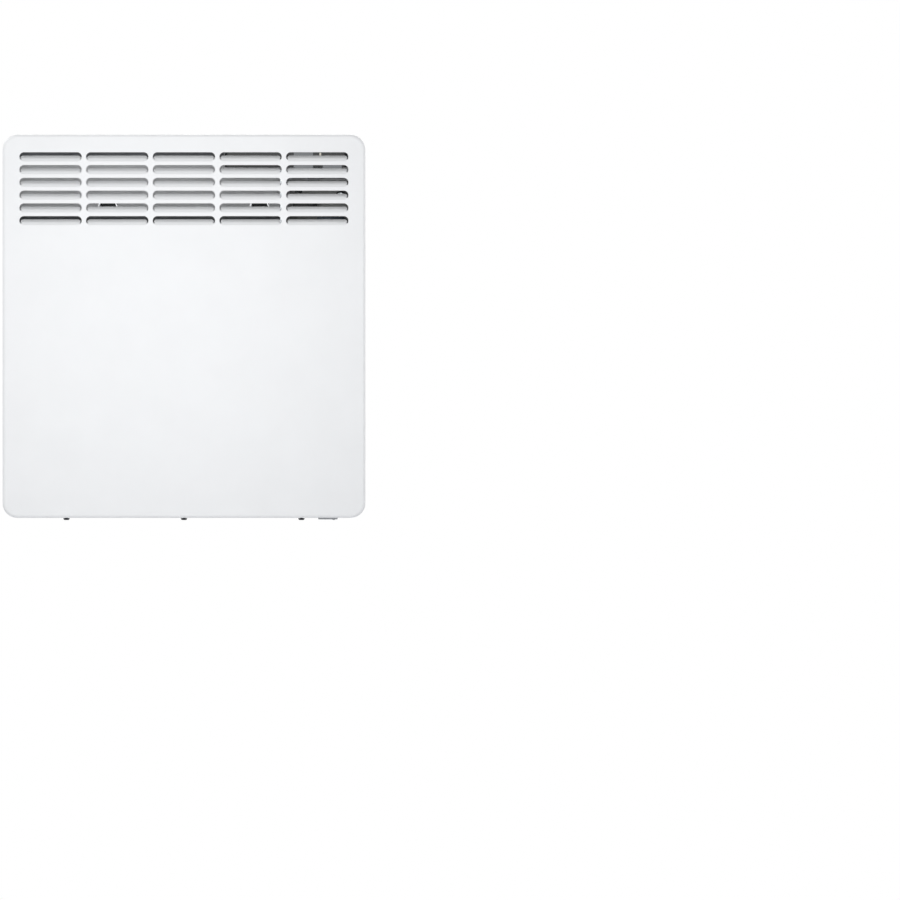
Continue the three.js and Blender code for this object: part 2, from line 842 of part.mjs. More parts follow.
// The element's profile: four arms round a hub, each with fins across it
function elementProfile() {
  const length = compartmentLeft - profileEndGap - profileLeft;
  const arms = [1, 3, 5, 7].flatMap((eighth) => {
    const angle = (eighth * Math.PI) / 4;
    const arm = new THREE.BoxGeometry(length, profileArm, profileArmThickness);
    arm.translate(0, profileArm / 2, 0);
    const fins = Array.from({ length: profileFins }, (_, fin) => {
      const place = profileArm - profileFinFromTip - (profileFins - 1 - fin) * profileFinPitch;
      return new THREE.BoxGeometry(length, profileFinThickness, profileFinLength).translate(0, place, 0);
    });
    return [arm, ...fins].map((shape) => shape.rotateX(angle));
  });
  const solid = joined(bar(2 * profileHub, length, 'x'), ...arms);
  return cut(solid, bar(rodBore, 2 * length, 'x'));
}

function elementBracket() {
  const half = elementBracketWidth / 2;
  const far = elementOut + half;
  const plate = box([0, compartmentSteel], [onTray, far], [-half, half]);
  const foot = box([0, elementBracketFoot], [onTray, onTray + compartmentSteel], [-half, half]);
  return cut(joined(plate, foot), at(bar(bushBore, 4 * compartmentSteel, 'x'), 0, elementOut, 0));
}

// A ceramic bush on the rod, its flange against the sheet that carries it; x runs out of the duct
function elementBush() {
  const sheetSide = compartmentSteel / 2 + seam;
  const profile = [
    [rodBore / 2, sheetSide - bushLength + bushFlangeThickness],
    [bushDiameter / 2, sheetSide - bushLength + bushFlangeThickness],
    [bushDiameter / 2, sheetSide],
    [bushFlange / 2, sheetSide],
    [bushFlange / 2, sheetSide + bushFlangeThickness],
    [rodBore / 2, sheetSide + bushFlangeThickness],
    [rodBore / 2, sheetSide - bushLength + bushFlangeThickness],
  ];
  const turned = new THREE.LatheGeometry(profile.map(([r, along]) => new THREE.Vector2(r, along)), 16);
  return turned.rotateZ(-Math.PI / 2);
}

// A stud with a flat tab, from the rod's end outwards along x
function elementTerminal() {
  const stud = bar(terminalStud, terminalStudLength, 'x', 12).translate(terminalStudLength / 2, 0, 0);
  const tabMiddle = terminalStudLength + terminalTabLength / 2 - terminalTabRoot;
  const tab = new THREE.BoxGeometry(terminalTabLength, terminalTabWidth, terminalTabThickness);
  return joined(stud, tab.translate(tabMiddle, 0, 0));
}

function thermalCutout() {
  const sheetSide = compartmentLeft + compartmentSteel + seam;
  const start = compartmentLeft - cutoutReach;
  const can = bar(cutoutDiameter, cutoutLength, 'x').translate(start + cutoutLength / 2, 0, 0);
  const flange = bar(cutoutFlange, cutoutFlangeThickness, 'x');
  flange.translate(sheetSide + cutoutFlangeThickness / 2, 0, 0);
  return at(joined(can, flange), 0, elementOut, cutoutHeight);
}

function heating() {
  const group = new THREE.Group();
  piece(group, 'front_heat_shield', 'zincSteel', frontHeatShield());
  piece(group, 'rear_heat_shield', 'aluminium', rearHeatShield());
  piece(group, 'compartment_wall', 'zincSteel', compartmentWall());
  piece(group, 'thermal_cutout', 'naturalPlastic', thermalCutout());

  const bracket = piece(group, 'element_bracket', 'zincSteel', elementBracket());
  bracket.position.set(elementBracketLeft, 0, elementHeight);

  const element = new THREE.Group();
  element.position.set(0, -elementOut, elementHeight);
  const profile = piece(element, 'element_profile', 'aluminium', elementProfile());
  profile.position.x = (profileLeft + compartmentLeft - profileEndGap) / 2;
  const rod = piece(element, 'heating_rod', 'zincSteel', bar(rodDiameter, rodRight - rodLeft, 'x'));
  rod.position.x = (rodLeft + rodRight) / 2;
  const leftSheet = elementBracketLeft + compartmentSteel / 2;
  const rightSheet = compartmentLeft + compartmentSteel / 2;
  const sides = [['left', leftSheet, rodLeft - seam, -1], ['right', rightSheet, rodRight + seam, 1]];
  sides.forEach(([side, sheet, end, outwards]) => {
    const bush = piece(element, `element_bush_${side}`, 'ceramic', elementBush());
    bush.position.x = sheet;
    const terminal = piece(element, `element_terminal_${side}`, 'zincSteel', elementTerminal());
    terminal.position.x = end;
    if (outwards < 0) {
      bush.rotation.z = Math.PI;
      terminal.rotation.z = Math.PI;
    }
  });
  group.add(element);
  return group;
}

// The gland's collar is behind the tray, its thread goes through it, and the cord's bore is open
function cableGland() {
  const collarFar = wallGap - seam;
  const collarNear = collarFar - glandCollarDepth;
  const profile = [
    [glandBore / 2, collarNear],
    [glandCollar / 2 - glandCollarChamfer, collarNear],
    [glandCollar / 2, collarNear + glandCollarChamfer],
    [glandCollar / 2, collarFar],
    [glandThread / 2, collarFar],
    [glandThread / 2, trayInside + glandInside],
    [glandBore / 2, trayInside + glandInside],
    [glandBore / 2, collarNear],
  ];
  const turned = new THREE.LatheGeometry(profile.map(([r, out]) => new THREE.Vector2(r, -out)).reverse(), 16);
  return at(turned, glandX, 0, glandHeight);
}

function glandNut() {
  const hexagon = outline(ring(glandNutFlats / Math.sqrt(3), 6));
  hexagon.holes.push(outline(ring(glandThread / 2 + seam, 16)));
  return at(facing(hexagon, onTray, onTray + glandNutThickness), glandX, 0, glandHeight);
}

function terminalBlock() {
  const far = onTray + blockDepth;
  const body = box(
    [blockX - blockWidth / 2, blockX + blockWidth / 2],
    [onTray, far],
    [blockHeight - blockTall / 2, blockHeight + blockTall / 2],
  );
  const pitch = blockWidth / blockPoles;
  const bores = Array.from({ length: blockPoles }, (_, pole) =>
    at(
      bar(blockPoleBore, 2 * blockPoleDepth, 'y', 10),
      blockX + (pole - (blockPoles - 1) / 2) * pitch,
      far,
      blockHeight,
    ));
  return cut(body, ...bores);
}

function earthScrew() {
  const head = bar(earthScrewHead, earthScrewHeadHeight, 'y');
  head.translate(0, -onTray - earthScrewHeadHeight / 2, 0);
  const near = onTray - earthScrewLength;
  const shank = bar(earthScrewDiameter, earthScrewLength + seam, 'y', 12);
  const screw = joined(head, shank.translate(0, -(near + onTray + seam) / 2, 0));
  return screw.translate(earthScrewX, 0, earthScrewHeight);
}

function boardCarrier() {
  const half = [boardWidth / 2 + carrierMargin, boardTall / 2 + carrierMargin];
  const plate = box(
    [boardX - half[0], boardX + half[0]],
    [carrierOut, carrierOut + carrierThickness],
    [boardHeight - half[1], boardHeight + half[1]],
  );
  const length = boardOut - seam - onTray;
  const posts = [-1, 1].flatMap((across) => [-1, 1].map((up) =>
    at(
      bar(postDiameter, length, 'y', 12),
      boardX + across * (boardWidth / 2 - postInset),
      onTray + length / 2,
      boardHeight + up * (boardTall / 2 - postInset),
    )));
  return joined(plate, ...posts);
}

const onBoard = boardOut + boardThickness + seam;

function boxOnBoard([x, height], [wide, tall, deep]) {
  const middle = [boardX + x, boardHeight + height];
  return box(
    [middle[0] - wide / 2, middle[0] + wide / 2],
    [onBoard, onBoard + deep],
    [middle[1] - tall / 2, middle[1] + tall / 2],
  );
}

// Laminated core with its winding bobbin standing proud at both ends
function transformer() {
  return joined(boxOnBoard(transformerPlace, transformerSize), boxOnBoard(transformerPlace, bobbinSize));
}

function capacitor() {
  const [x, height] = capacitorPlace;
  const can = bar(capacitorDiameter, capacitorLength, 'y');
  return at(can, boardX + x, onBoard + capacitorLength / 2, boardHeight + height);
}

function electrics() {
  const group = new THREE.Group();
  piece(group, 'cable_gland', 'blackPlastic', cableGland());
  piece(group, 'gland_nut', 'blackPlastic', glandNut());
  piece(group, 'terminal_block', 'naturalPlastic', terminalBlock());
  piece(group, 'earth_screw', 'zincSteel', earthScrew());
  piece(group, 'board_carrier', 'whitePlastic', boardCarrier());
  const board = box(
    [boardX - boardWidth / 2, boardX + boardWidth / 2],
    [boardOut, boardOut + boardThickness],
    [boardHeight - boardTall / 2, boardHeight + boardTall / 2],
  );
  piece(group, 'power_board', 'boardGreen', board);
  piece(group, 'relay', 'blackPlastic', boxOnBoard(relayPlace, relaySize));
  piece(group, 'transformer', 'zincSteel', transformer());
  piece(group, 'capacitor', 'blackPlastic', capacitor());
  return group;
}

// Levels of the control unit, down from its outer face
const housingTop = -fasciaThickness - seam;
const buttonUnder = -fasciaThickness - seam;
const stemEnd = buttonUnder - buttonFlangeThickness - buttonStemLength;
const plungerTop = stemEnd - buttonTravel - runningFit / 2;
const controlBoardTop = plungerTop - tactPlungerHeight - tactHeight - seam;
const buttonPlaces = buttonNames.map((_, index) => buttonFirst + index * buttonPitch);

function controlFascia() {
  const plate = standing(roundedRectangle(fasciaWidth, fasciaDepth, fasciaRadius), -fasciaThickness, 0, 2);
  const buttonHoles = buttonPlaces.map((x) => {
    const wide = buttonWidth + 2 * runningFit;
    const deep = buttonDepth + 2 * runningFit;
    const hole = roundedRectangle(wide, deep, buttonRadius + runningFit, x);
    return standing(hole, -fasciaThickness - past, past, 2);
  });
  const glassHole = standing(
    roundedRectangle(displayWidth + 2 * seam, displayDepth + 2 * seam, displayRadius + seam, displayPlace),
    -displayGlass - seam,
    past,
    2,
  );
  const sightWidth = displayWidth - 2 * displayLedge;
  const sightDepth = displayDepth - 2 * displayLedge;
  const sightHole = standing(
    roundedRectangle(sightWidth, sightDepth, displayRadius - displayLedge, displayPlace),
    -fasciaThickness - past,
    past,
    2,
  );
  return cut(plate, ...buttonHoles, glassHole, sightHole);
}

function controlHousing() {
  const wide = fasciaWidth + 2 * (housingWall - housingOverlap);
  const deep = fasciaDepth + 2 * (housingWall - housingOverlap);
  const outer = roundedRectangle(wide, deep, fasciaRadius);
  const inner = roundedRectangle(wide - 2 * housingWall, deep - 2 * housingWall, fasciaRadius - housingWall);
  const bottom = housingTop - housingDrop;
  const tub = cut(standing(outer, bottom, housingTop, 2), standing(inner, bottom + housingFloor, past, 2));
  const shelf = controlBoardTop - controlBoardThickness - seam;
  const ribMiddle = wide / 2 - housingWall / 2 - boardRestReach / 2;
  const ribs = [-ribMiddle, ribMiddle].map((middle) => {
    const halfReach = (housingWall + boardRestReach) / 2 - housingWall / 4;
    const across = [middle - halfReach, middle + halfReach];
    return box(across, [-boardRestWidth / 2, boardRestWidth / 2], [bottom + housingFloor / 2, shelf]);
  });
  return joined(tub, ...ribs);
}

function controlButton() {
  const capShape = roundedRectangle(buttonWidth, buttonDepth, buttonRadius);
  const cap = standing(capShape, buttonUnder - buttonFlangeThickness / 2, 0, 2);
  const flange = standing(
    roundedRectangle(buttonWidth + 2 * buttonFlange, buttonDepth + 2 * buttonFlange, buttonRadius),
    buttonUnder - buttonFlangeThickness,
    buttonUnder,
    2,
  );
  const stem = bar(buttonStem, buttonStemLength + buttonFlangeThickness, 'z', 12)
    .translate(0, 0, stemEnd + (buttonStemLength + buttonFlangeThickness) / 2);
  return joined(cap, flange, stem);
}

function tactSwitch() {
  const half = tactSize / 2;
  const base = plungerTop - tactPlungerHeight - tactHeight;
  const body = box([-half, half], [-half, half], [base, base + tactHeight]);
  const plunger = bar(tactPlungerDiameter, tactHeight + tactPlungerHeight, 'z', 12)
    .translate(0, 0, plungerTop - (tactHeight + tactPlungerHeight) / 2);
  return joined(body, plunger);
}

function controlUnit() {
  const group = new THREE.Group();
  group.position.set(controlX, -controlOut, casingHeight);
  piece(group, 'control_fascia', 'whitePlastic', controlFascia());
  piece(group, 'control_housing', 'blackPlastic', controlHousing());
  const glassShape = roundedRectangle(displayWidth, displayDepth, displayRadius, displayPlace);
  piece(group, 'display_window', 'glass', standing(glassShape, -displayGlass, 0, 2));
  const halfWidth = displayWidth / 2;
  const halfDepth = displayDepth / 2;
  const moduleTop = -fasciaThickness - seam;
  const module = box(
    [displayPlace - halfWidth, displayPlace + halfWidth],
    [-halfDepth, halfDepth],
    [moduleTop - displayModuleThickness, moduleTop],
  );
  piece(group, 'display_module', 'greyPlastic', module);
  const boardHalfWidth = fasciaWidth / 2 - housingOverlap - controlBoardGap;
  const boardHalfDepth = fasciaDepth / 2 - housingOverlap - controlBoardGap;
  const board = box(
    [-boardHalfWidth, boardHalfWidth],
    [-boardHalfDepth, boardHalfDepth],
    [controlBoardTop - controlBoardThickness, controlBoardTop],
  );
  piece(group, 'control_board', 'boardGreen', board);
  buttonNames.forEach((name, index) => {
    const button = piece(group, `button_${name}`, 'greyPlastic', controlButton());
    button.position.x = buttonPlaces[index];
    const tact = piece(group, `tact_switch_${name}`, 'blackPlastic', tactSwitch());
    tact.position.x = buttonPlaces[index];
  });
  return group;
}

// Bezel below the tray's floor and body above it, open below for the rocker, with two spade terminals
function switchBody() {
  const halfWidth = switchBezelWidth / 2;
  const under = trayInset - seam;
  const bezelOutline = outline([
    [-halfWidth, under],
    [-halfWidth, switchBezelBottom + switchBezelChamfer],
    [-halfWidth + switchBezelChamfer, switchBezelBottom],
    [halfWidth - switchBezelChamfer, switchBezelBottom],
    [halfWidth, switchBezelBottom + switchBezelChamfer],
    [halfWidth, under],
  ]);
  const bezel = facing(bezelOutline, -switchBezelDepth / 2, switchBezelDepth / 2);
  const half = [switchBodyWidth / 2, switchBodyDepth / 2];
  const body = box([-half[0], half[0]], [-half[1], half[1]], [under / 2, switchBodyTop]);
  const spades = [-spadeSpread, spadeSpread].map((x) =>
    box(
      [x - spadeThickness / 2, x + spadeThickness / 2],
      [-spadeWidth / 2, spadeWidth / 2],
      [switchBodyTop - spadeRoot, switchBodyTop + spadeLength],
    ));
  const inside = [half[0] - switchWall, half[1] - switchWall];
  const cavityTall = [switchBezelBottom - past, switchCavityTop];
  const cavity = box([-inside[0], inside[0]], [-inside[1], inside[1]], cavityTall);
  const bearing = bar(trunnionDiameter + 2 * runningFit, 2 * switchBodyDepth, 'y', 12)
    .translate(0, 0, rockerPivotHeight);
  const bearingSpan = box([-half[0], half[0]], [-half[1] - seam, half[1] + seam], [under, switchBodyTop]);
  return cut(joined(bezel, body, ...spades), cavity, shared(bearing, bearingSpan));
}

// The rocker as it lies half way, from its pivot; its face is a shallow V whose ends stand proud
function switchRocker() {
  const endDrop = rockerHalf * Math.tan(THREE.MathUtils.degToRad(rockerTilt));
  const face = outline([
    [-rockerHalf, -rockerFaceDrop - endDrop],
    [0, -rockerFaceDrop],
    [rockerHalf, -rockerFaceDrop - endDrop],
    [rockerHalf, -rockerFaceDrop + rockerEndHeight],
    [rockerTopHalf, rockerTopAbovePivot],
    [-rockerTopHalf, rockerTopAbovePivot],
    [-rockerHalf, -rockerFaceDrop + rockerEndHeight],
  ]);
  const trunnion = bar(trunnionDiameter, rockerDepth + 2 * (runningFit + trunnionReach), 'y', 12);
  return joined(facing(face, -rockerDepth / 2, rockerDepth / 2), trunnion);
}

function mainsSwitch() {
  const group = new THREE.Group();
  group.position.set(switchX, -switchOut, 0);
  piece(group, 'mains_switch_body', 'greyPlastic', switchBody());
  const rocker = piece(group, 'mains_switch_rocker', 'greyPlastic', switchRocker());
  rocker.position.z = rockerPivotHeight;
  rocker.rotation.y = THREE.MathUtils.degToRad(rockerTilt);
  return group;
}

// A forked clip on the tray's floor holds the sensor's bead
function sensorParts(group) {
  const bottom = trayFloorTop + seam;
  const bore = sensorBead + 2 * seam;
  const top = sensorHeight + clipFork;
  const block = box([-clipWidth / 2, clipWidth / 2], [-clipDepth / 2, clipDepth / 2], [bottom, top]);
  const mouth = box([-clipMouth / 2, clipMouth / 2], [-clipDepth, clipDepth], [sensorHeight, top + past]);
  const clip = cut(block, bar(bore, 2 * clipDepth, 'y').translate(0, 0, sensorHeight), mouth);
  const bead = bar(sensorBead, sensorLength, 'y', 12).translate(0, 0, sensorHeight);
  piece(group, 'sensor_clip', 'whitePlastic', clip).position.set(sensorX, -sensorOut, 0);
  piece(group, 'room_sensor', 'blackPlastic', bead).position.set(sensorX, -sensorOut, 0);
}

// A lead is one tube through points of [x, out, height]
function lead(points, steps, section = ring(leadDiameter / 2, leadSides)) {
  const path = new THREE.CatmullRomCurve3(
    points.map(([x, out, height]) => new THREE.Vector3(x, -out, height)), false, 'centripetal');
  return new THREE.ExtrudeGeometry(outline(section), { steps, extrudePath: path });
}

function innerLeads() {
  const group = new THREE.Group();
  const spadeTop = switchBodyTop + spadeLength + seam;
  const boardBottom = boardHeight - boardTall / 2;
  const boardTop = boardHeight + boardTall / 2;
  const boardMiddleOut = boardOut + boardThickness / 2;
  const blockRight = blockX + blockWidth / 2 + seam;
  const blockTop = blockHeight + blockTall / 2 + seam;
  const blockMiddleOut = onTray + blockDepth / 2;
  const tabEnd = terminalStudLength + terminalTabLength - terminalTabRoot + 2 * seam;
  const rightTab = rodRight + tabEnd;
  const leftTab = rodLeft - seam - terminalStudLength - terminalTabLength / 2 + terminalTabRoot;
  const underTab = elementHeight - terminalTabThickness / 2 - seam;
  const floorOut = wallGap + floorLeadOut;
  const floorHeight = floorLeadHeight;

  piece(group, 'switch_feed_lead', 'leadBrown', lead([
    [blockX + feedLeadPole, blockMiddleOut, blockTop],
    [blockX + feedLeadPole, blockMiddleOut, blockTop + feedLeadRise],
    [blockX + feedLeadBow[0], blockMiddleOut + feedLeadBow[1], blockTop + feedLeadBow[2]],
    [switchX + spadeSpread, switchOut - feedLeadBack, blockTop],
    [switchX + spadeSpread, switchOut, spadeTop + feedLeadFall],
    [switchX + spadeSpread, switchOut, spadeTop],
  ], 16));
  piece(group, 'board_feed_lead', 'leadBrown', lead([
    [switchX - spadeSpread, switchOut, spadeTop],
    [switchX - spadeSpread, switchOut, spadeTop + 30],
    [switchX - spadeSpread - 4, switchOut + 2, boardBottom - 122],
    [switchX - spadeSpread - 4, switchOut - 10, boardBottom - 52],
    [switchX - spadeSpread, boardMiddleOut, boardBottom - leadStub],
    [switchX - spadeSpread, boardMiddleOut, boardBottom - seam],
  ], 20));
  piece(group, 'element_lead_right', 'leadWhite', lead([
    [rightTab, elementOut, elementHeight],
    [rightTab + rightLeadStub, elementOut, elementHeight],
    [rightTab + rightLeadReach, elementOut - rightLeadBack, elementHeight + rightLeadRise],
    [rightTab + rightLeadReach, boardMiddleOut + rightLeadBack, boardBottom - rightLeadFall],
    [rightTab + rightLeadReach, boardMiddleOut, boardBottom - leadStub],
    [rightTab + rightLeadReach, boardMiddleOut, boardBottom - seam],
  ], 16));
  piece(group, 'element_lead_left', 'leadWhite', lead([
    [leftTab, elementOut, underTab],
    [leftTab, elementOut, underTab - 8],
    [leftTab, elementOut - 8, elementHeight - 60],
    [leftTab + 2, elementOut - 17, elementHeight - 100],
    [leftTab + 22, floorOut + 2, floorHeight + 1],
    [leftTab + 99.3, floorOut, floorHeight],
    [0, floorOut, floorHeight],
    [compartmentLeft - 20, floorOut, floorHeight],
    [compartmentLeft + 16, floorOut + 1, floorHeight + 1],
    [compartmentLeft + 24, floorOut + 13, floorHeight + 21],
    [compartmentLeft + 27, floorOut + 19, elementHeight - 40],
    [compartmentLeft + 36, floorOut + 19, boardBottom - 102],
    [compartmentLeft + 38, boardMiddleOut + 2, boardBottom - 24],
    [compartmentLeft + 38, boardMiddleOut, boardBottom - 8],
    [compartmentLeft + 38, boardMiddleOut, boardBottom - seam],
  ], 36));
  piece(group, 'sensor_lead', 'leadWhite', lead([
    [sensorX, sensorOut - sensorLength / 2 - seam, sensorHeight],
    [sensorX, sensorOut - sensorLength / 2 - 5, sensorHeight + 1],
    [sensorX + 3, sensorOut - 14, sensorHeight + 31],
    [sensorX + 3, sensorOut - 22, boardBottom - 142],
    [sensorX + 1, boardMiddleOut + 8, boardBottom - 52],
    [sensorX, boardMiddleOut, boardBottom - leadStub],
    [sensorX, boardMiddleOut, boardBottom - seam],
  ], 20));
  piece(group, 'earth_lead', 'leadEarth', lead([
    [blockRight, blockMiddleOut, blockHeight],
    [blockRight + 5, blockMiddleOut, blockHeight],
    [earthScrewX - 6, onTray + earthScrewHeadHeight + 8, earthScrewHeight],
    [earthScrewX, onTray + earthScrewHeadHeight + 4, earthScrewHeight],
    [earthScrewX, onTray + earthScrewHeadHeight + seam, earthScrewHeight],
  ], 12));
  const ribbonTop = casingHeight + housingTop - housingDrop - seam;
  const half = ribbonThickness / 2;
  const side = ribbonWidth / 2;
  const flat = [[-side, -half], [side, -half], [side, half], [-side, half]];
  piece(group, 'control_lead', 'leadWhite', lead([
    [boardX - 10, boardMiddleOut, boardTop + seam],
    [boardX - 10, boardMiddleOut, boardTop + 3],
    [boardX - 10, (boardMiddleOut + controlOut) / 2, (boardTop + ribbonTop) / 2],
    [boardX - 10, controlOut, ribbonTop - 3],
    [boardX - 10, controlOut, ribbonTop],
  ], 12, flat));
  return group;
}

const heater = new THREE.Group();
const body = new THREE.Group();
body.position.z = -lowerRailHeight;
body.add(casing(), wallBracket(), heating(), electrics(), controlUnit(), mainsSwitch(), innerLeads());
sensorParts(body);
heater.add(body);

export default heater;
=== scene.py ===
"""A wall panel convector heater: its looks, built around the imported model. Everything is in metres."""
import contextlib
import math

import bmesh
import bpy
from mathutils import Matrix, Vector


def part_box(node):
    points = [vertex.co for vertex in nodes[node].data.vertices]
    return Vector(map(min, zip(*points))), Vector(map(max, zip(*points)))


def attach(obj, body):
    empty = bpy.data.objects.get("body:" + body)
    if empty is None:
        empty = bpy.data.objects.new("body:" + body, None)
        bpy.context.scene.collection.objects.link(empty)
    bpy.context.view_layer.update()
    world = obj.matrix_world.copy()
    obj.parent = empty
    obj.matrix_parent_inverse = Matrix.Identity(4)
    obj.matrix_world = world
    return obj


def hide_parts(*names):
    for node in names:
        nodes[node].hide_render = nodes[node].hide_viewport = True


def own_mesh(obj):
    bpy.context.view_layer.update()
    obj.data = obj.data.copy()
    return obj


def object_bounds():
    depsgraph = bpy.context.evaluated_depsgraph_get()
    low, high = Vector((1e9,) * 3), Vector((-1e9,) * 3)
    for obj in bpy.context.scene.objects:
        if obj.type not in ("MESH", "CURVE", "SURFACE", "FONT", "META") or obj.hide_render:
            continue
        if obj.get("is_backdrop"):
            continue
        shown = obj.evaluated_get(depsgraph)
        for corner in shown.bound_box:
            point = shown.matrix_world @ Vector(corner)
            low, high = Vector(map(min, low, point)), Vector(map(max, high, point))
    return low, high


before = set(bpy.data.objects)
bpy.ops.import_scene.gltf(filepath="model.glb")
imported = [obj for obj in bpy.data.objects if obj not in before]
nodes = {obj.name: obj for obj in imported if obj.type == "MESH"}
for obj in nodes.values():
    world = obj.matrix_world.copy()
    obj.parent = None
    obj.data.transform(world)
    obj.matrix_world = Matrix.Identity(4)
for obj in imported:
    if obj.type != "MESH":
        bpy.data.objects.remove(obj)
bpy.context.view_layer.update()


# ------------------------
# Camera
# The heater is photographed square on from thirty metres away, and fills the left upper part of a square picture
# that is 1057 mm wide at its front face.
FRONT = -0.100
camera_data = bpy.data.cameras.new("camera")
camera_data.sensor_width = 36
camera_data.lens = 1021.8
camera_data.clip_end = 100
camera = bpy.data.objects.new("camera", camera_data)
camera.location = (0.3125, FRONT - 30.0, -0.0403)
camera.rotation_euler = (math.pi / 2, 0, 0)
bpy.context.collection.objects.link(camera)
bpy.context.scene.camera = camera
bpy.context.scene.view_settings.view_transform = "Standard"


# ------------------------
# Studio
# A pale floor well below the heater, a white surround, one soft lamp in front, a little above and to the left, two
# that lift the edges from the sides, and a weak fill from behind for the other views.
def linear(text, alpha=1.0):
    """The linear colour of an sRGB hex value."""
    parts = [int(text[i:i + 2], 16) / 255 for i in (1, 3, 5)]
    return [c / 12.92 if c <= 0.04045 else ((c + 0.055) / 1.055) ** 2.4 for c in parts] + [alpha]


def add(tree, kind, values=(), links=(), **settings):
    """Adds a node with its settings, its inputs' values, and links from other nodes' outputs."""
    node = tree.nodes.new(kind)
    for name, value in settings.items():
        setattr(node, name, value)
    for socket, value in dict(values).items():
        node.inputs[socket].default_value = value
    for socket, source in dict(links).items():
        tree.links.new(source, node.inputs[socket])
    return node


world = bpy.data.worlds.new("studio")
bpy.context.scene.world = world
world.use_nodes = True
tree = world.node_tree
tree.nodes.clear()
rays = add(tree, "ShaderNodeLightPath")
seen = add(tree, "ShaderNodeMath", links={0: rays.outputs["Is Camera Ray"], 1: rays.outputs["Is Glossy Ray"]},
           operation="MAXIMUM")
shown = add(tree, "ShaderNodeMath", links={0: seen.outputs[0], 1: rays.outputs["Is Transmission Ray"]},
            operation="MAXIMUM")
around = add(tree, "ShaderNodeBackground", {"Color": linear("#f7f8fa"), "Strength": 0.37})
backdrop = add(tree, "ShaderNodeBackground", {"Color": linear("#ffffff"), "Strength": 1.0})
both = add(tree, "ShaderNodeMixShader",
           links={0: shown.outputs[0], 1: around.outputs[0], 2: backdrop.outputs[0]})
add(tree, "ShaderNodeOutputWorld", links={"Surface": both.outputs[0]})


def lamp(name, size, watts, place, aim):
    """A square soft lamp that looks from a place at a point."""
    data = bpy.data.lights.new(name, "AREA")
    data.size = size
    data.energy = watts
    thing = bpy.data.objects.new(name, data)
    thing.location = place
    turn = [a - b for a, b in zip(aim, place)]
    level = math.hypot(turn[0], turn[1])
    thing.rotation_euler = (math.atan2(level, -turn[2]), 0, math.atan2(-turn[0], turn[1]))
    bpy.context.collection.objects.link(thing)


lamp("key", 0.6, 4.8, (-0.05, -1.0, 0.20), (-0.05, FRONT, 0.20))
lamp("behind", 2.0, 26, (0.8, 2.6, 1.4), (0, 0, 0.1))
lamp("left_rim", 1.2, 17, (-1.5, 0.2, 1.5), (0, -0.05, 0.1))
lamp("right_rim", 1.0, 6, (1.6, 0.2, 0.4), (0, -0.05, 0.1))

FLOOR_DROP = 0.85
bpy.ops.mesh.primitive_plane_add(size=8, location=(0, 0, -FLOOR_DROP))
floor = bpy.context.object
floor.name = "floor"
paint = bpy.data.materials.new("pale_floor")
paint.use_nodes = True
tree = paint.node_tree
shader = tree.nodes["Principled BSDF"]
shader.inputs["Roughness"].default_value = 0.7
where = add(tree, "ShaderNodeTexCoord")
mottle = add(tree, "ShaderNodeTexNoise", {"Scale": 3.0, "Detail": 2.0}, {"Vector": where.outputs["Object"]})
tones = add(tree, "ShaderNodeValToRGB", links={0: mottle.outputs["Fac"]})
tones.color_ramp.elements[0].color = linear("#e9eaec")
tones.color_ramp.elements[1].color = linear("#eeeff1")
tree.links.new(tones.outputs[0], shader.inputs["Base Color"])
floor.data.materials.append(paint)
floor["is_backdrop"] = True


# ------------------------
# Front shell
# One sheet of 1 mm steel, deep drawn at its four corners and folded back on all sides. Thirty louvres are pressed
# inwards by a tool, and the sheet is finished in white powder coat after all cutting.
def finish(name, low, high, roughness, grain, bump, lay=(1, 1, 1), **inputs):
    """A finish whose tone drifts between two near colours, with a bump at a grain size in metres.
    A lay other than 1, 1, 1 draws the pattern out along an axis, as rolling, drawing or extrusion does."""
    made = bpy.data.materials.new(name)
    made.use_nodes = True
    tree = made.node_tree
    shader = tree.nodes["Principled BSDF"]
    shader.inputs["Roughness"].default_value = roughness
    for socket, value in inputs.items():
        shader.inputs[socket.replace("_", " ")].default_value = value
    where = add(tree, "ShaderNodeTexCoord")
    drawn = add(tree, "ShaderNodeMapping", {"Scale": lay}, {"Vector": where.outputs["Object"]})
    drift = add(tree, "ShaderNodeTexNoise", {"Scale": 25.0, "Detail": 3.0}, {"Vector": drawn.outputs[0]})
    tones = add(tree, "ShaderNodeValToRGB", links={0: drift.outputs["Fac"]})
    tones.color_ramp.elements[0].position = 0.3
    tones.color_ramp.elements[0].color = linear(low)
    tones.color_ramp.elements[1].position = 0.7
    tones.color_ramp.elements[1].color = linear(high)
    tree.links.new(tones.outputs[0], shader.inputs["Base Color"])
    fine = add(tree, "ShaderNodeTexNoise", {"Scale": 1 / grain, "Detail": 2.0}, {"Vector": drawn.outputs[0]})
    relief = add(tree, "ShaderNodeBump", {"Strength": bump, "Distance": grain / 10},
                 {"Height": fine.outputs["Fac"]})
    tree.links.new(relief.outputs[0], shader.inputs["Normal"])
    return made


# Powder coat: polyester powder baked on steel. It gives a satin white with a faint orange peel of about 1.5 mm.
powder_coat = finish("white_powder_coat", "#f4f5f6", "#f6f7f8", 0.42, 0.0015, 0.12)


def only(thing):
    """Leaves one object selected and active."""
    bpy.ops.object.select_all(action="DESELECT")
    thing.hide_viewport = False
    thing.select_set(True)
    bpy.context.view_layer.objects.active = thing


@contextlib.contextmanager
def editing(thing):
    """Edit mode on one object, with all of it selected to begin with."""
    only(thing)
    bpy.ops.object.mode_set(mode="EDIT")
    bpy.ops.mesh.select_all(action="SELECT")
    yield
    bpy.ops.object.mode_set(mode="OBJECT")


def settle(thing):
    """Puts an object at the origin, unturned and unscaled, with its place in its mesh."""
    only(thing)
    bpy.ops.object.transform_apply(location=True, rotation=True, scale=True)


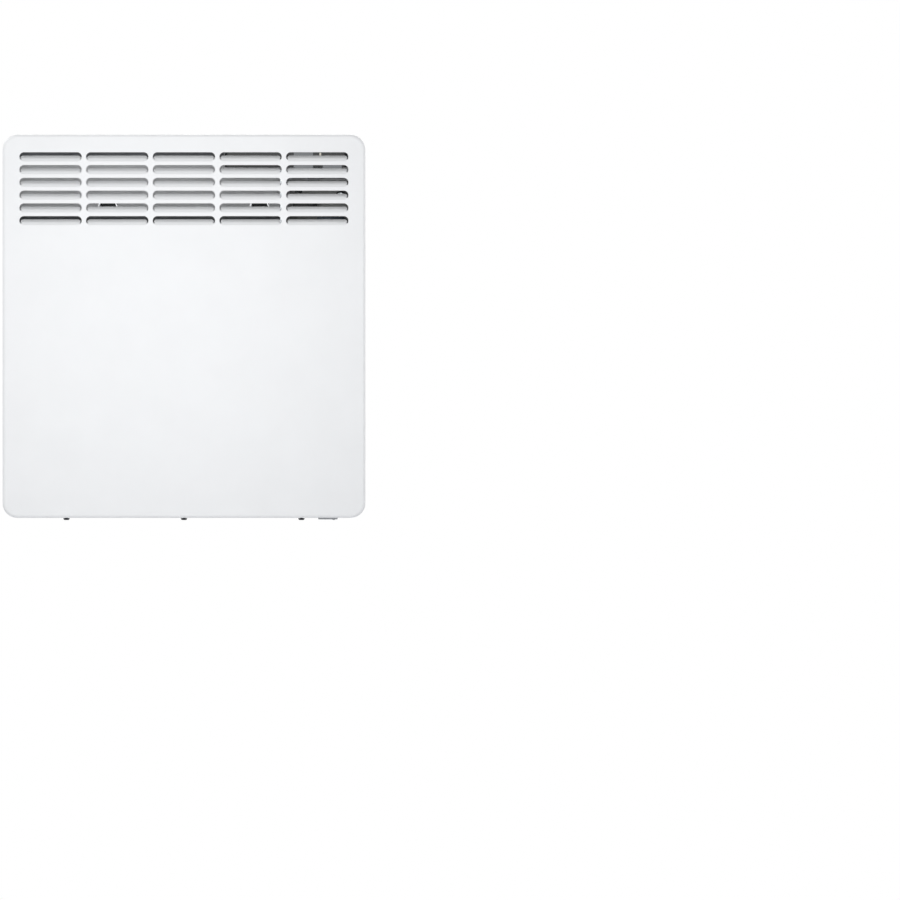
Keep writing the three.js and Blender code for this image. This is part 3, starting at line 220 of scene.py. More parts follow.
def block(low, high):
    """A block between two corners, to be shaped."""
    middle = [(a + b) / 2 for a, b in zip(low, high)]
    bpy.ops.object.select_all(action="DESELECT")
    bpy.ops.mesh.primitive_cube_add(size=1, location=middle)
    bpy.context.object.scale = [b - a for a, b in zip(low, high)]
    settle(bpy.context.object)
    return bpy.context.object


def ring(sides, radius, middle, turn=(0, 0, 0), fill="NOTHING"):
    """A circle of edges, to be extruded."""
    bpy.ops.object.select_all(action="DESELECT")
    bpy.ops.mesh.primitive_circle_add(vertices=sides, radius=radius, fill_type=fill, location=middle, rotation=turn)
    settle(bpy.context.object)
    return bpy.context.object


def pick(thing, kind, test):
    """In edit mode, selects the vertices, edges or faces that pass a test."""
    bpy.ops.mesh.select_mode(type={"verts": "VERT", "edges": "EDGE", "faces": "FACE"}[kind])
    bpy.ops.mesh.select_all(action="DESELECT")
    mesh = bmesh.from_edit_mesh(thing.data)
    for part in getattr(mesh, kind):
        if test(part):
            part.select_set(True)
    bmesh.update_edit_mesh(thing.data)


def along(axis, edge):
    """Whether an edge runs along an axis."""
    way = (edge.verts[0].co - edge.verts[1].co).normalized()
    return abs(way["xyz".index(axis)]) > 0.99


def lies(part, axis, place, slack=1e-5):
    """Whether all of a face's or an edge's corners lie at a place along an axis."""
    return all(abs(v.co["xyz".index(axis)] - place) < slack for v in part.verts)


def union(first, *others):
    """Joins objects into the first one's mesh."""
    bpy.ops.object.select_all(action="DESELECT")
    for thing in (first, *others):
        thing.select_set(True)
    bpy.context.view_layer.objects.active = first
    bpy.ops.object.join()
    return first


def copies(thing, places):
    """Copies of an object at each offset, each with its own mesh."""
    made = []
    for place in places:
        twin = thing.copy()
        twin.data = thing.data.copy()
        twin.location = place
        bpy.context.collection.objects.link(twin)
        settle(twin)
        made.append(twin)
    return made


def apply(thing, kind, **settings):
    """Adds a modifier and applies it."""
    only(thing)
    modifier = thing.modifiers.new(kind.lower(), kind)
    for name, value in settings.items():
        setattr(modifier, name, value)
    bpy.ops.object.modifier_apply(modifier=modifier.name)


def cut_away(thing, *tools):
    """Cuts tools out of an object and removes them."""
    tool = union(*tools)
    apply(thing, "BOOLEAN", object=tool, operation="DIFFERENCE", solver="EXACT")
    bpy.data.objects.remove(tool)


def smooth(thing, degrees=35):
    """Smooth shading up to an angle."""
    only(thing)
    bpy.ops.object.shade_smooth_by_angle(angle=math.radians(degrees))


def dress(thing, name, material, body="root", stands_for=()):
    """Names a finished piece, gives it its finish, and says what it rides on and stands for."""
    thing.name = name
    thing.data.name = name
    thing.data.materials.clear()
    thing.data.materials.append(material)
    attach(thing, body)
    if stands_for:
        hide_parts(*stands_for)
    return thing


shell_low, shell_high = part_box("front_shell")
SHELL_STEEL = 0.001
CORNER = 0.0175
FOLD = 0.003
LAND = 0.0005

# The louvre's tool: concentric rings that sink and tilt, from the flat land to the tongue, which then curls inwards
SLOT_LENGTH = 0.0732
SLOT_HEIGHT = 0.0108
TONGUE_HEIGHT = 0.0069
COLUMN_PITCH = 0.0783
ROW_PITCH = 0.015
TOP_MARGIN = 0.0206
RINGS = [  # narrower than the slot by, sunk by, tilted by degrees
    (0.0, 0.0, 0),
    (0.0003, 0.0001, 3),
    (0.0006, 0.0002, 8),
    (0.0009, 0.0003, 12),
    (0.0012, 0.0003, 15),
    (0.0015, 0.0003, 18),
]
CURL = [(0.0022, 8), (0.0029, 8), (0.0036, 8), (0.0043, 8), (0.0050, 6)]  # from this height, by these degrees
FREE_ENDS = -0.0030
slot_radius = SLOT_HEIGHT / 2
FLOOR_AREA = slot_radius * SLOT_LENGTH  # larger than any of the rings' faces
louvre = ring(40, slot_radius + LAND, (0, FRONT, 0), (math.pi / 2, math.radians(4.5), 0))
with editing(louvre):
    bpy.ops.mesh.select_mode(type="EDGE")
    bpy.ops.mesh.select_all(action="SELECT")
    radius, sunk, tilt = slot_radius + LAND, 0.0, 0.0
    for narrower, depth, degrees in RINGS:
        lift = math.radians(degrees)
        stretch = math.cos(tilt) / math.cos(lift)
        shrink = (slot_radius - narrower) / radius
        bottom_line = (0, FRONT + sunk, -slot_radius)
        middle = (0, FRONT + sunk + slot_radius * math.tan(lift), 0)
        bpy.ops.mesh.extrude_region_move()
        bpy.ops.transform.rotate(value=lift - tilt, orient_axis="X", center_override=bottom_line)
        bpy.ops.transform.resize(value=(1, stretch, stretch), center_override=bottom_line)
        bpy.ops.transform.resize(value=(shrink, shrink, shrink), center_override=middle)
        bpy.ops.transform.translate(value=(0, depth - sunk, 0))
        radius, sunk, tilt = slot_radius - narrower, depth, lift
    bpy.ops.mesh.edge_face_add()

    # The rings part in the middle to the slot's length, and the rim is marked. The tongue is cut free along its top
    # and half way down its ends, and folds inwards a little at a time.
    for side in (-1, 1):
        pick(louvre, "verts", lambda vert: vert.co.x * side > 0)
        bpy.ops.transform.translate(value=(side * (SLOT_LENGTH / 2 - slot_radius), 0, 0))
    pick(louvre, "edges", lambda edge: edge.is_boundary)
    bpy.ops.mesh.mark_seam()
    pick(louvre, "faces", lambda face: not lies(face, "y", FRONT) and face.calc_area() < FLOOR_AREA
         and face.calc_center_median().z > FREE_ENDS)
    bpy.ops.mesh.delete(type="FACE")
    pick(louvre, "faces", lambda face: face.calc_area() > FLOOR_AREA)
    bpy.ops.mesh.hide(unselected=True)
    for rise, fold in CURL:
        fold_line = rise - slot_radius
        bpy.ops.mesh.select_all(action="SELECT")
        bpy.ops.mesh.bisect(plane_co=(0, 0, fold_line), plane_no=(0, 0, 1), threshold=1e-7)
        on_line = [vert.co.y for vert in bmesh.from_edit_mesh(louvre.data).verts
                   if not vert.hide and abs(vert.co.z - fold_line) < 1e-6]
        pick(louvre, "verts", lambda vert: not vert.hide and vert.co.z > fold_line + 1e-6)
        bpy.ops.transform.rotate(value=math.radians(fold), orient_axis="X", center_override=(0, on_line[0], fold_line))
    bpy.ops.mesh.reveal(select=False)
    tongue_edge = TONGUE_HEIGHT - slot_radius
    bpy.ops.mesh.select_all(action="SELECT")
    bpy.ops.mesh.bisect(plane_co=(0, 0, tongue_edge), plane_no=(0, 0, 1))
    pick(louvre, "faces", lambda face: not lies(face, "y", FRONT) and face.calc_center_median().z > tongue_edge)
    bpy.ops.mesh.delete(type="FACE")

louvre_tops = [shell_high.z - TOP_MARGIN - row * ROW_PITCH for row in range(6)]
louvres = copies(louvre, [((column - 2) * COLUMN_PITCH, 0, top - slot_radius)
                          for column in range(5) for top in louvre_tops])
bpy.data.objects.remove(louvre)

# The pan: corners drawn, front edge folded, back left open
shell = block(shell_low, shell_high)
with editing(shell):
    pick(shell, "edges", lambda edge: along("y", edge))
    bpy.ops.mesh.bevel(offset=CORNER, segments=10, affect="EDGES")
    pick(shell, "faces", lambda face: lies(face, "y", shell_high.y))
    bpy.ops.mesh.delete(type="ONLY_FACE")
    pick(shell, "edges", lambda edge: lies(edge, "y", FRONT))
    bpy.ops.mesh.bevel(offset=FOLD, segments=5, affect="EDGES")
    pick(shell, "faces", lambda face: lies(face, "y", FRONT))
    bpy.ops.mesh.inset(thickness=LAND)
    pick(shell, "faces", lambda face: lies(face, "y", FRONT) and len(face.verts) > 4)
    bpy.ops.mesh.delete(type="ONLY_FACE")
    pick(shell, "edges", lambda edge: lies(edge, "y", FRONT) and edge.is_boundary)
    bpy.ops.mesh.mark_seam()

# The front face is filled between the pan's rim and the louvres' rims, and the sheet gets its thickness inwards
union(shell, *louvres)
with editing(shell):
    pick(shell, "edges", lambda edge: edge.seam and edge.is_boundary)
    bpy.ops.mesh.fill()
    bpy.ops.mesh.select_all(action="SELECT")
    bpy.ops.mesh.mark_seam(clear=True)
    bpy.ops.mesh.normals_make_consistent(inside=False)
apply(shell, "SOLIDIFY", thickness=SHELL_STEEL, offset=-1, use_even_offset=True)

# Cut through it: the control unit's place in the top, the screws' holes, and the open bottom behind the lip
LIP = 0.016
SCREW_PLACES = (-0.138, 0.0, 0.138)
SCREW_SETBACK = 0.009
CLEAR = 0.0003
SCREW_HOLE = 0.0046
SCREW_RECESS = 0.0013


def rounded(low, high, axis, radius, segments=6):
    """A block whose four edges along an axis are rounded."""
    thing = block(low, high)
    with editing(thing):
        pick(thing, "edges", lambda edge: along(axis, edge))
        bpy.ops.mesh.bevel(offset=radius, segments=segments, affect="EDGES")
    return thing


def drill(diameter, length, middle, axis="z", sides=32):
    """A round tool along an axis."""
    turn = {"x": (0, math.pi / 2, 0), "y": (math.pi / 2, 0, 0), "z": (0, 0, 0)}[axis]
    bpy.ops.object.select_all(action="DESELECT")
    bpy.ops.mesh.primitive_cylinder_add(vertices=sides, radius=diameter / 2, depth=length, location=middle,
                                        rotation=turn)
    settle(bpy.context.object)
    return bpy.context.object


fascia_low, fascia_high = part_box("control_fascia")
control_cut = rounded((fascia_low.x - CLEAR, fascia_low.y - CLEAR, shell_high.z - 0.005),
                      (fascia_high.x + CLEAR, fascia_high.y + CLEAR, shell_high.z + 0.005), "z", 0.0043)
flat_half = shell_high.x - CORNER
bottom_cut = block((-flat_half, FRONT + LIP, shell_low.z - 0.005),
                   (flat_half, shell_high.y + 0.005, shell_low.z + 0.0013))
screw_cuts = [drill(SCREW_HOLE, 0.006, (x, FRONT + SCREW_SETBACK, shell_low.z)) for x in SCREW_PLACES]
cut_away(shell, control_cut, bottom_cut, *screw_cuts)
smooth(shell, 30)
dress(shell, "front_shell_sheet", powder_coat, stands_for=["front_shell"])

# Two slanted lugs, spot welded inside the fifth row, guide a screwdriver's blade to each latch behind
LUG_HALF = (0.0006, 0.0005, 0.0036)
LUG_SPREAD = 0.0096
LUG_HEIGHT = 0.3690
LUG_TILT = math.radians(22)
lugs = []
for x in (-0.0895, 0.0885):
    for side in (-1, 1):
        middle = (x + side * LUG_SPREAD, FRONT + 0.0016, shell_low.z + LUG_HEIGHT)
        lug = rounded([m - h for m, h in zip(middle, LUG_HALF)],
                      [m + h for m, h in zip(middle, LUG_HALF)], "y", 0.0003, 2)
        only(lug)
        bpy.ops.transform.rotate(value=LUG_TILT * side, orient_axis="Y", center_override=middle)
        settle(lug)
        lugs.append(lug)
lugs = union(*lugs)
smooth(lugs, 40)
dress(lugs, "latch_guide_lugs", powder_coat)


# ------------------------
# Rear panel
# A tray of 0.9 mm steel whose floor folds forwards and lets the air in. It is blanked, its stiffening beads are
# pressed, and it is powder coated like the shell, which closes over it.
BOTTOM = shell_low.z
TRAY_STEEL = 0.0009
TRAY_WALL_DEPTH = 0.030
TRAY_CORNER = 0.0162
UPRIGHT_X = 0.089
tray_low, tray_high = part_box("rear_panel")
tray_edge = tray_high.y - TRAY_WALL_DEPTH

BEAD_WIDTH = 0.012
BEADS = [(-0.150, 0.140, 0.270), (-0.038, 0.140, 0.270), (0.038, 0.140, 0.270), (0.150, 0.120, 0.250)]
BEAD_RINGS = [(0.0052, 0.0002), (0.0040, 0.0008), (0.0030, 0.0013), (0.0022, 0.0015)]
beads = []
for x, foot, head in BEADS:
    middle = BOTTOM + (foot + head) / 2
    bead = ring(24, BEAD_WIDTH / 2, (x, tray_high.y, middle), (math.pi / 2, math.radians(7.5), 0))
    with editing(bead):
        bpy.ops.mesh.select_mode(type="EDGE")
        bpy.ops.mesh.select_all(action="SELECT")
        radius, sunk = BEAD_WIDTH / 2, 0.0
        for narrower, depth in BEAD_RINGS:
            shrink = narrower / radius
            bpy.ops.mesh.extrude_region_move()
            bpy.ops.transform.resize(value=(shrink, 1, shrink), center_override=(x, tray_high.y, middle))
            bpy.ops.transform.translate(value=(0, sunk - depth, 0))
            radius, sunk = narrower, depth
        bpy.ops.mesh.edge_face_add()
        for side in (-1, 1):
            pick(bead, "verts", lambda vert: (vert.co.z - middle) * side > 0)
            bpy.ops.transform.translate(value=(0, 0, side * (head - foot - BEAD_WIDTH) / 2))
        pick(bead, "edges", lambda edge: edge.is_boundary)
        bpy.ops.mesh.mark_seam()
    beads.append(bead)

tray = block((tray_low.x, tray_edge, tray_low.z), tray_high)
with editing(tray):
    pick(tray, "edges", lambda edge: along("y", edge))
    bpy.ops.mesh.bevel(offset=TRAY_CORNER, segments=10, affect="EDGES")
    pick(tray, "faces", lambda face: lies(face, "y", tray_edge))
    bpy.ops.mesh.delete(type="ONLY_FACE")
    pick(tray, "edges", lambda edge: lies(edge, "y", tray_high.y))
    bpy.ops.mesh.bevel(offset=0.0016, segments=4, affect="EDGES")
    pick(tray, "faces", lambda face: lies(face, "y", tray_high.y))
    bpy.ops.mesh.delete(type="ONLY_FACE")
    pick(tray, "edges", lambda edge: lies(edge, "y", tray_high.y) and edge.is_boundary)
    bpy.ops.mesh.mark_seam()
    pick(tray, "edges", lambda edge: lies(edge, "y", tray_edge) and lies(edge, "z", tray_low.z))
    bpy.ops.mesh.extrude_region_move()
    bpy.ops.transform.translate(value=(0, tray_low.y - tray_edge, 0))
union(tray, *beads)
with editing(tray):
    pick(tray, "edges", lambda edge: edge.seam and edge.is_boundary)
    bpy.ops.mesh.fill()
    bpy.ops.mesh.select_all(action="SELECT")
    bpy.ops.mesh.mark_seam(clear=True)
    bpy.ops.mesh.normals_make_consistent(inside=False)
apply(tray, "SOLIDIFY", thickness=TRAY_STEEL, offset=-1, use_even_offset=True)

# Windows for the hooks and latches, holes for screws, gland, earth and switch, and the air intake's slots
back = (tray_high.y - 0.005, tray_high.y + 0.005)
under = (tray_low.z - 0.005, tray_low.z + 0.005)
windows = [rounded((x - 0.010, back[0], BOTTOM + foot), (x + 0.010, back[1], BOTTOM + head), "y", 0.0012, 3)
           for x in (-UPRIGHT_X, UPRIGHT_X) for foot, head in ((0.3615, 0.3736), (0.0560, 0.0688))]
slots = [rounded((-0.184 + 0.058 * column, -0.0378 - 0.012 * row, under[0]),
                 (-0.134 + 0.058 * column, -0.0340 - 0.012 * row, under[1]), "z", 0.0017)
         for column in range(5) for row in range(4)]
screws = [drill(SCREW_HOLE, 0.006, (x, FRONT + SCREW_SETBACK, tray_low.z)) for x in SCREW_PLACES]
switch_low, switch_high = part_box("mains_switch_body")
switch_x, switch_y = (switch_low.x + switch_high.x) / 2, (switch_low.y + switch_high.y) / 2
switch_cut = block((switch_x - 0.0105, switch_y - 0.0068, under[0]), (switch_x + 0.0105, switch_y + 0.0068, under[1]))
GLAND = (0.150, BOTTOM + 0.040)
EARTH = (0.188, BOTTOM + 0.084)
gland_hole = drill(0.0126, 0.010, (GLAND[0], tray_high.y, GLAND[1]), "y")
earth_hole = drill(0.0046, 0.010, (EARTH[0], tray_high.y, EARTH[1]), "y")
cut_away(tray, *windows, *slots, *screws, switch_cut, gland_hole, earth_hole)
smooth(tray, 30)
dress(tray, "rear_panel_tray", powder_coat, stands_for=["rear_panel"])


# Dark felt strips glued to the tray's inner face, behind the top row's left louvres and the whole sixth row, are
# painted shade: they darken those gaps, where the casing's top and the duct behind lie in shade. They would also keep
# the sheets from humming.
# Needled felt: mid grey, which paints that shade, matt, with a coarse fibre of about 0.5 mm.
shade_felt = finish("grey_felt_painted_shade", "#828386", "#929396", 0.95, 0.0005, 0.6)
PAINTED_SHADE_STRIPS = [(-0.204, 0.046, 0.4245, 0.4340), (-0.204, 0.204, 0.3480, 0.3570)]  # left, right, foot, head
shade_strips = []
for left, right, foot, head in PAINTED_SHADE_STRIPS:
    shade_strips.append(rounded((left, tray_high.y - TRAY_STEEL - 0.0016, BOTTOM + foot),
                         (right, tray_high.y - TRAY_STEEL - 0.00005, BOTTOM + head), "x", 0.0005, 3))
shade_strips = union(*shade_strips)
smooth(shade_strips, 40)
# The strips' dark grey paints the shade seen through those louvre gaps.
dress(shade_strips, "painted_shade_felt_strips", shade_felt)


# ------------------------
# Casing screws
# Three 4 mm thread-forming screws with pan heads and cross recesses, rolled from wire. They go up through the
# shell's lip into the rear panel's floor.
def turned(levels, middle, axis="z", sides=32):
    """A turned solid through circles of (radius, distance along an axis)."""
    thing = ring(sides, levels[0][0], (0, 0, levels[0][1]), fill="NGON")
    with editing(thing):
        bpy.ops.mesh.select_mode(type="FACE")
        bpy.ops.mesh.select_all(action="SELECT")
        for (before, start), (radius, place) in zip(levels, levels[1:]):
            bpy.ops.mesh.extrude_region_move()
            bpy.ops.transform.translate(value=(0, 0, place - start))
            bpy.ops.transform.resize(value=(radius / before, radius / before, 1), center_override=(0, 0, place))
        bpy.ops.mesh.select_all(action="SELECT")
        bpy.ops.mesh.normals_make_consistent(inside=False)
    settle(thing)
    thing.rotation_euler = {"x": (0, math.pi / 2, 0), "y": (-math.pi / 2, 0, 0), "z": (0, 0, 0)}[axis]
    thing.location = middle
    settle(thing)
    return thing


# Zinc-nickel plating, passivated black. It keeps a metal's gleam on the rounded head.
black_zinc = finish("black_zinc_nickel_plating", "#313235", "#3f4043", 0.4, 0.0008, 0.1, Metallic=1.0)
SCREW_HEAD = [(0.0018, 0), (0.0025, 0.0001), (0.0030, 0.0004), (0.0034, 0.0009), (0.0037, 0.0016), (0.0038, 0.0023)]
SCREW_THREAD = [(radius, 0.0023 + 0.0004 + 0.0007 * turn + rise) for turn in range(11)
                for radius, rise in ((0.0016, 0.0), (0.0020, 0.0003), (0.0016, 0.0006))]
head_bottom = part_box("casing_screw_middle")[0].z
for side, x in zip(("left", "middle", "right"), SCREW_PLACES):
    place = (x, FRONT + SCREW_SETBACK, head_bottom)
    screw = turned([*SCREW_HEAD, (0.0016, 0.0023), *SCREW_THREAD, (0.0009, 0.0113)], place)
    for wide, deep in ((0.0021, 0.0005), (0.0005, 0.0021)):
        cut_away(screw, block((x - wide, place[1] - deep, place[2] - 0.001),
                              (x + wide, place[1] + deep, place[2] + SCREW_RECESS)))
    smooth(screw, 30)
    dress(screw, f"casing_screw_{side}_threaded", black_zinc, stands_for=[f"casing_screw_{side}"])


# ------------------------
# Wall bracket
# Two channels of 1.5 mm steel with hooks and spring ledges, joined by two folded rails with slots for the wall
# screws. It is blanked, folded, spot welded and powder coated.
def softened(node, width, segments=2, degrees=40):
    """A CAD node's mesh, merged whole, with its sharp edges rounded."""
    thing = bpy.data.objects.new(node + "_softened", nodes[node].data.copy())
    bpy.context.collection.objects.link(thing)
    with editing(thing):
        bpy.ops.mesh.remove_doubles(threshold=1e-6)
        bpy.ops.mesh.dissolve_limited(angle_limit=math.radians(1))
    apply(thing, "BEVEL", width=width, segments=segments, limit_method="ANGLE", angle_limit=math.radians(degrees))
    smooth(thing, 40)
    apply(thing, "WEIGHTED_NORMAL", keep_sharp=True)
    return thing


bracket = softened("wall_bracket", 0.0003)
dress(bracket, "wall_bracket_frame", powder_coat, stands_for=["wall_bracket"])


# ------------------------
# Latches, with their pins and springs
# Glass-filled nylon latches turn on riveted steel pins in the bracket's channels, and a spring of drawn wire under
# each holds its head up in the rear panel's window. The tab above has ridges for the thumb.
# Moulded nylon: near black, with the fine matt grain of a spark-eroded mould, about 0.4 mm.
black_nylon = finish("black_glass_filled_nylon", "#18191b", "#212225", 0.5, 0.0004, 0.25)
# Zinc plating, passivated clear: pale grey metal with soft cloudy spangle.
zinc_plate = finish("clear_zinc_plating", "#adb1b5", "#c4c8cb", 0.36, 0.0012, 0.08, Metallic=1.0)
# Spring wire: drawn bright, so that its gloss runs along it.
spring_wire = finish("drawn_spring_steel_wire", "#8e9296", "#a4a8ac", 0.28, 0.0003, 0.1, Metallic=1.0)
TAB_FACE = -0.0096
RIDGE_PITCH = 0.0024
SPRING_WIRE = 0.0008
SPRING_TURNS = 5
for side, x in (("left", -UPRIGHT_X), ("right", UPRIGHT_X)):
    latch = softened(f"bracket_latch_{side}", 0.0004, 3)
    latch_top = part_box(f"bracket_latch_{side}")[1].z
    ridges = []
    for ridge in range(4):
        place = latch_top - 0.003 - RIDGE_PITCH * ridge
        ridges.append(rounded((x - 0.0075, TAB_FACE - 0.0005, place - 0.0006),
                              (x + 0.0075, TAB_FACE + 0.0004, place + 0.0006), "x", 0.0004, 3))
    union(latch, *ridges)
    smooth(latch, 40)
    dress(latch, f"bracket_latch_{side}_moulded", black_nylon, f"latch_{side}",
          [f"bracket_latch_{side}"])

    pin_low, pin_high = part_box(f"latch_pin_{side}")
    long = pin_high.x - pin_low.x
    pin = turned([(0.0019, 0), (0.0023, 0.0002), (0.0025, 0.0006), (0.0025, 0.0012), (0.0015, 0.0012),
                  (0.0015, long - 0.0012), (0.0025, long - 0.0012), (0.0025, long - 0.0006),
                  (0.0023, long - 0.0002), (0.0019, long)],
                 (pin_low.x, (pin_low.y + pin_high.y) / 2, (pin_low.z + pin_high.z) / 2), "x")
    smooth(pin, 35)
    dress(pin, f"latch_pin_{side}_riveted", zinc_plate, stands_for=[f"latch_pin_{side}"])

    spring_low, spring_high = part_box(f"latch_spring_{side}")
    rise = spring_high.z - spring_low.z - SPRING_WIRE
    coil = (spring_high.x - spring_low.x - SPRING_WIRE) / 2
    spring = ring(10, SPRING_WIRE / 2, (coil, 0, spring_low.z + SPRING_WIRE / 2), (math.pi / 2, 0, 0))
    apply(spring, "SCREW", axis="Z", angle=math.tau, screw_offset=rise / SPRING_TURNS, iterations=SPRING_TURNS,
          steps=24, render_steps=24)
    with editing(spring):
        pick(spring, "edges", lambda edge: edge.is_boundary)
        bpy.ops.mesh.edge_face_add()
        bpy.ops.mesh.select_all(action="SELECT")
        bpy.ops.mesh.normals_make_consistent(inside=False)
    spring.location = (x, (spring_low.y + spring_high.y) / 2, 0)
    settle(spring)
    smooth(spring, 60)
    dress(spring, f"latch_spring_{side}_coiled", spring_wire, stands_for=[f"latch_spring_{side}"])
    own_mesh(spring)


# ------------------------
# Heat shields, compartment wall and element bracket
# Sheets of 0.8 and 1 mm, cut and folded with small bend radii: zinc-plated steel for the front shield, the wall and
# the bracket, and plain aluminium for the rear shield, which throws the element's heat back.
# Mill aluminium: rolled along its length, so its tone is drawn out that way.
rolled_aluminium = finish("rolled_mill_aluminium", "#bfc3c6", "#d3d6d8", 0.3, 0.0006, 0.12, (0.06, 1, 1), Metallic=1.0)
for node, name, coat, slot in (
    ("front_heat_shield", "front_heat_shield_sheet", zinc_plate, "zinc_steel"),
    ("rear_heat_shield", "rear_heat_shield_sheet", rolled_aluminium, "aluminium"),
    ("compartment_wall", "compartment_wall_sheet", zinc_plate, "zinc_steel"),
    ("element_bracket", "element_bracket_sheet", zinc_plate, "zinc_steel"),
):
    dress(softened(node, 0.00015), name, coat, stands_for=[node])


# ------------------------
# Heating element
# A steel-sheathed rod, 8 mm thick, swaged into a finned aluminium extrusion. Its ends are sealed in steatite bushes
# and carry welded studs with push-on tabs.
# Extruded aluminium: fine die lines run along X, about 0.5 mm apart.
extruded_aluminium = finish("extruded_aluminium", "#b6babd", "#cdd0d2", 0.34, 0.0005, 0.3, (0.02, 1, 1), Metallic=1.0)
# Steatite: a dense unglazed ceramic, warm white and matt.
steatite = finish("pressed_steatite", "#e4decf", "#efeadd", 0.62, 0.0006, 0.15)
dress(softened("element_profile", 0.0003), "element_profile_extrusion", extruded_aluminium,
      stands_for=["element_profile"])

rod_low, rod_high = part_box("heating_rod")
element_y, element_z = (rod_low.y + rod_high.y) / 2, (rod_low.z + rod_high.z) / 2
long = rod_high.x - rod_low.x
rod = turned([(0.0034, 0), (0.0038, 0.0003), (0.0040, 0.0010), (0.0040, 0.0060), (0.0037, 0.0066), (0.0037, 0.0074),
              (0.0040, 0.0080), (0.0040, long - 0.0080), (0.0037, long - 0.0074), (0.0037, long - 0.0066),
              (0.0040, long - 0.0060), (0.0040, long - 0.0010), (0.0038, long - 0.0003), (0.0034, long)],
             (rod_low.x, element_y, element_z), "x", 48)
smooth(rod, 35)
dress(rod, "heating_rod_sheath", zinc_plate, stands_for=["heating_rod"])

BUSH_BORE = 0.0086
for side, turn in (("left", -1), ("right", 1)):
    bush_low, bush_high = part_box(f"element_bush_{side}")
    wide = bush_high.x - bush_low.x
    levels = [(0.0061, 0), (0.0066, 0.0003), (0.0067, 0.0008), (0.0067, wide - 0.003), (0.0096, wide - 0.003),
              (0.0100, wide - 0.0026), (0.0100, wide - 0.0005), (0.0095, wide)]
    if turn < 0:
        levels = [(radius, wide - place) for radius, place in reversed(levels)]
    bush = turned(levels, (bush_low.x, element_y, element_z), "x", 40)
    cut_away(bush, drill(BUSH_BORE, 0.03, ((bush_low.x + bush_high.x) / 2, element_y, element_z), "x", 40))
    smooth(bush, 35)
    dress(bush, f"element_bush_{side}_pressed", steatite, stands_for=[f"element_bush_{side}"])

    tab_low, tab_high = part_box(f"element_terminal_{side}")
    inner, outer = (tab_low.x, tab_high.x) if turn > 0 else (tab_high.x, tab_low.x)
    stud = turned([(0.0020, 0), (0.0020, 0.0036), (0.0016, 0.0040)], (inner, element_y, element_z), "x", 24)
    if turn < 0:
        only(stud)
        bpy.ops.transform.mirror(constraint_axis=(True, False, False), center_override=(inner, element_y, element_z))
        settle(stud)
        with editing(stud):
            bpy.ops.mesh.normals_make_consistent(inside=False)
    near, far = sorted((inner + turn * 0.003, outer))
    tab = rounded((near, element_y - 0.00315, element_z - 0.0004), (far, element_y + 0.00315, element_z + 0.0004),
                  "z", 0.0008, 3)
    cut_away(tab, drill(0.0016, 0.004, (outer - turn * 0.0035, element_y, element_z), "z", 16))
    union(stud, tab)
    smooth(stud, 35)
    dress(stud, f"element_terminal_{side}_welded", zinc_plate, stands_for=[f"element_terminal_{side}"])


# ------------------------
# Thermal cut-out
# A bimetal cut-out in a phenolic can, let into the compartment's wall, its steel cap towards the duct.
# Phenolic moulding: a warm ivory with a slight gloss.
phenolic = finish("moulded_phenolic", "#cfcabb", "#dad6c9", 0.42, 0.0005, 0.12)
can_low, can_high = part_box("thermal_cutout")
can = turned([(0.0066, 0), (0.0076, 0.0002), (0.0080, 0.0006), (0.0080, 0.0053), (0.0106, 0.0053), (0.0110, 0.0056),
              (0.0110, 0.0065), (0.0106, 0.0068), (0.0080, 0.0068), (0.0080, 0.0112), (0.0074, 0.0120)],
             (can_low.x, element_y, (can_low.z + can_high.z) / 2), "x", 40)
smooth(can, 35)
dress(can, "thermal_cutout_can", phenolic, stands_for=["thermal_cutout"])


# ------------------------
# Cable gland and nut
# A nylon gland screwed through the rear panel, with a hexagon nut inside; it takes the mains cord, which is not part
# of the heater as photographed.
gland_low, gland_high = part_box("cable_gland")
gland_long = gland_high.y - gland_low.y
gland_thread = [(radius, 0.0005 + 0.0011 * turn + rise) for turn in range(9)
                for radius, rise in ((0.0056, 0.0), (0.0060, 0.0003), (0.0060, 0.0005), (0.0056, 0.0008))]
gland = turned([(0.0052, 0), *gland_thread, (0.0060, 0.0102), (0.0060, gland_long - 0.0050),
                (0.0098, gland_long - 0.0050), (0.0100, gland_long - 0.0048), (0.0100, gland_long - 0.0025),
                (0.0094, gland_long - 0.0016), (0.0076, gland_long - 0.0001), (0.0074, gland_long)],
               (GLAND[0], gland_low.y, GLAND[1]), "y", 48)
cut_away(gland, drill(0.0070, 0.04, (GLAND[0], tray_high.y, GLAND[1]), "y", 40))
grips = []
for step in range(12):
    angle = math.tau * step / 12
    grips.append(drill(0.0016, 0.003, (GLAND[0] + 0.0104 * math.cos(angle), gland_high.y - 0.0038,
                                       GLAND[1] + 0.0104 * math.sin(angle)), "y", 12))
cut_away(gland, *grips)
smooth(gland, 35)
dress(gland, "cable_gland_moulded", black_nylon, stands_for=["cable_gland"])
dress(softened("gland_nut", 0.0005, 3), "gland_nut_moulded", black_nylon, stands_for=["gland_nut"])


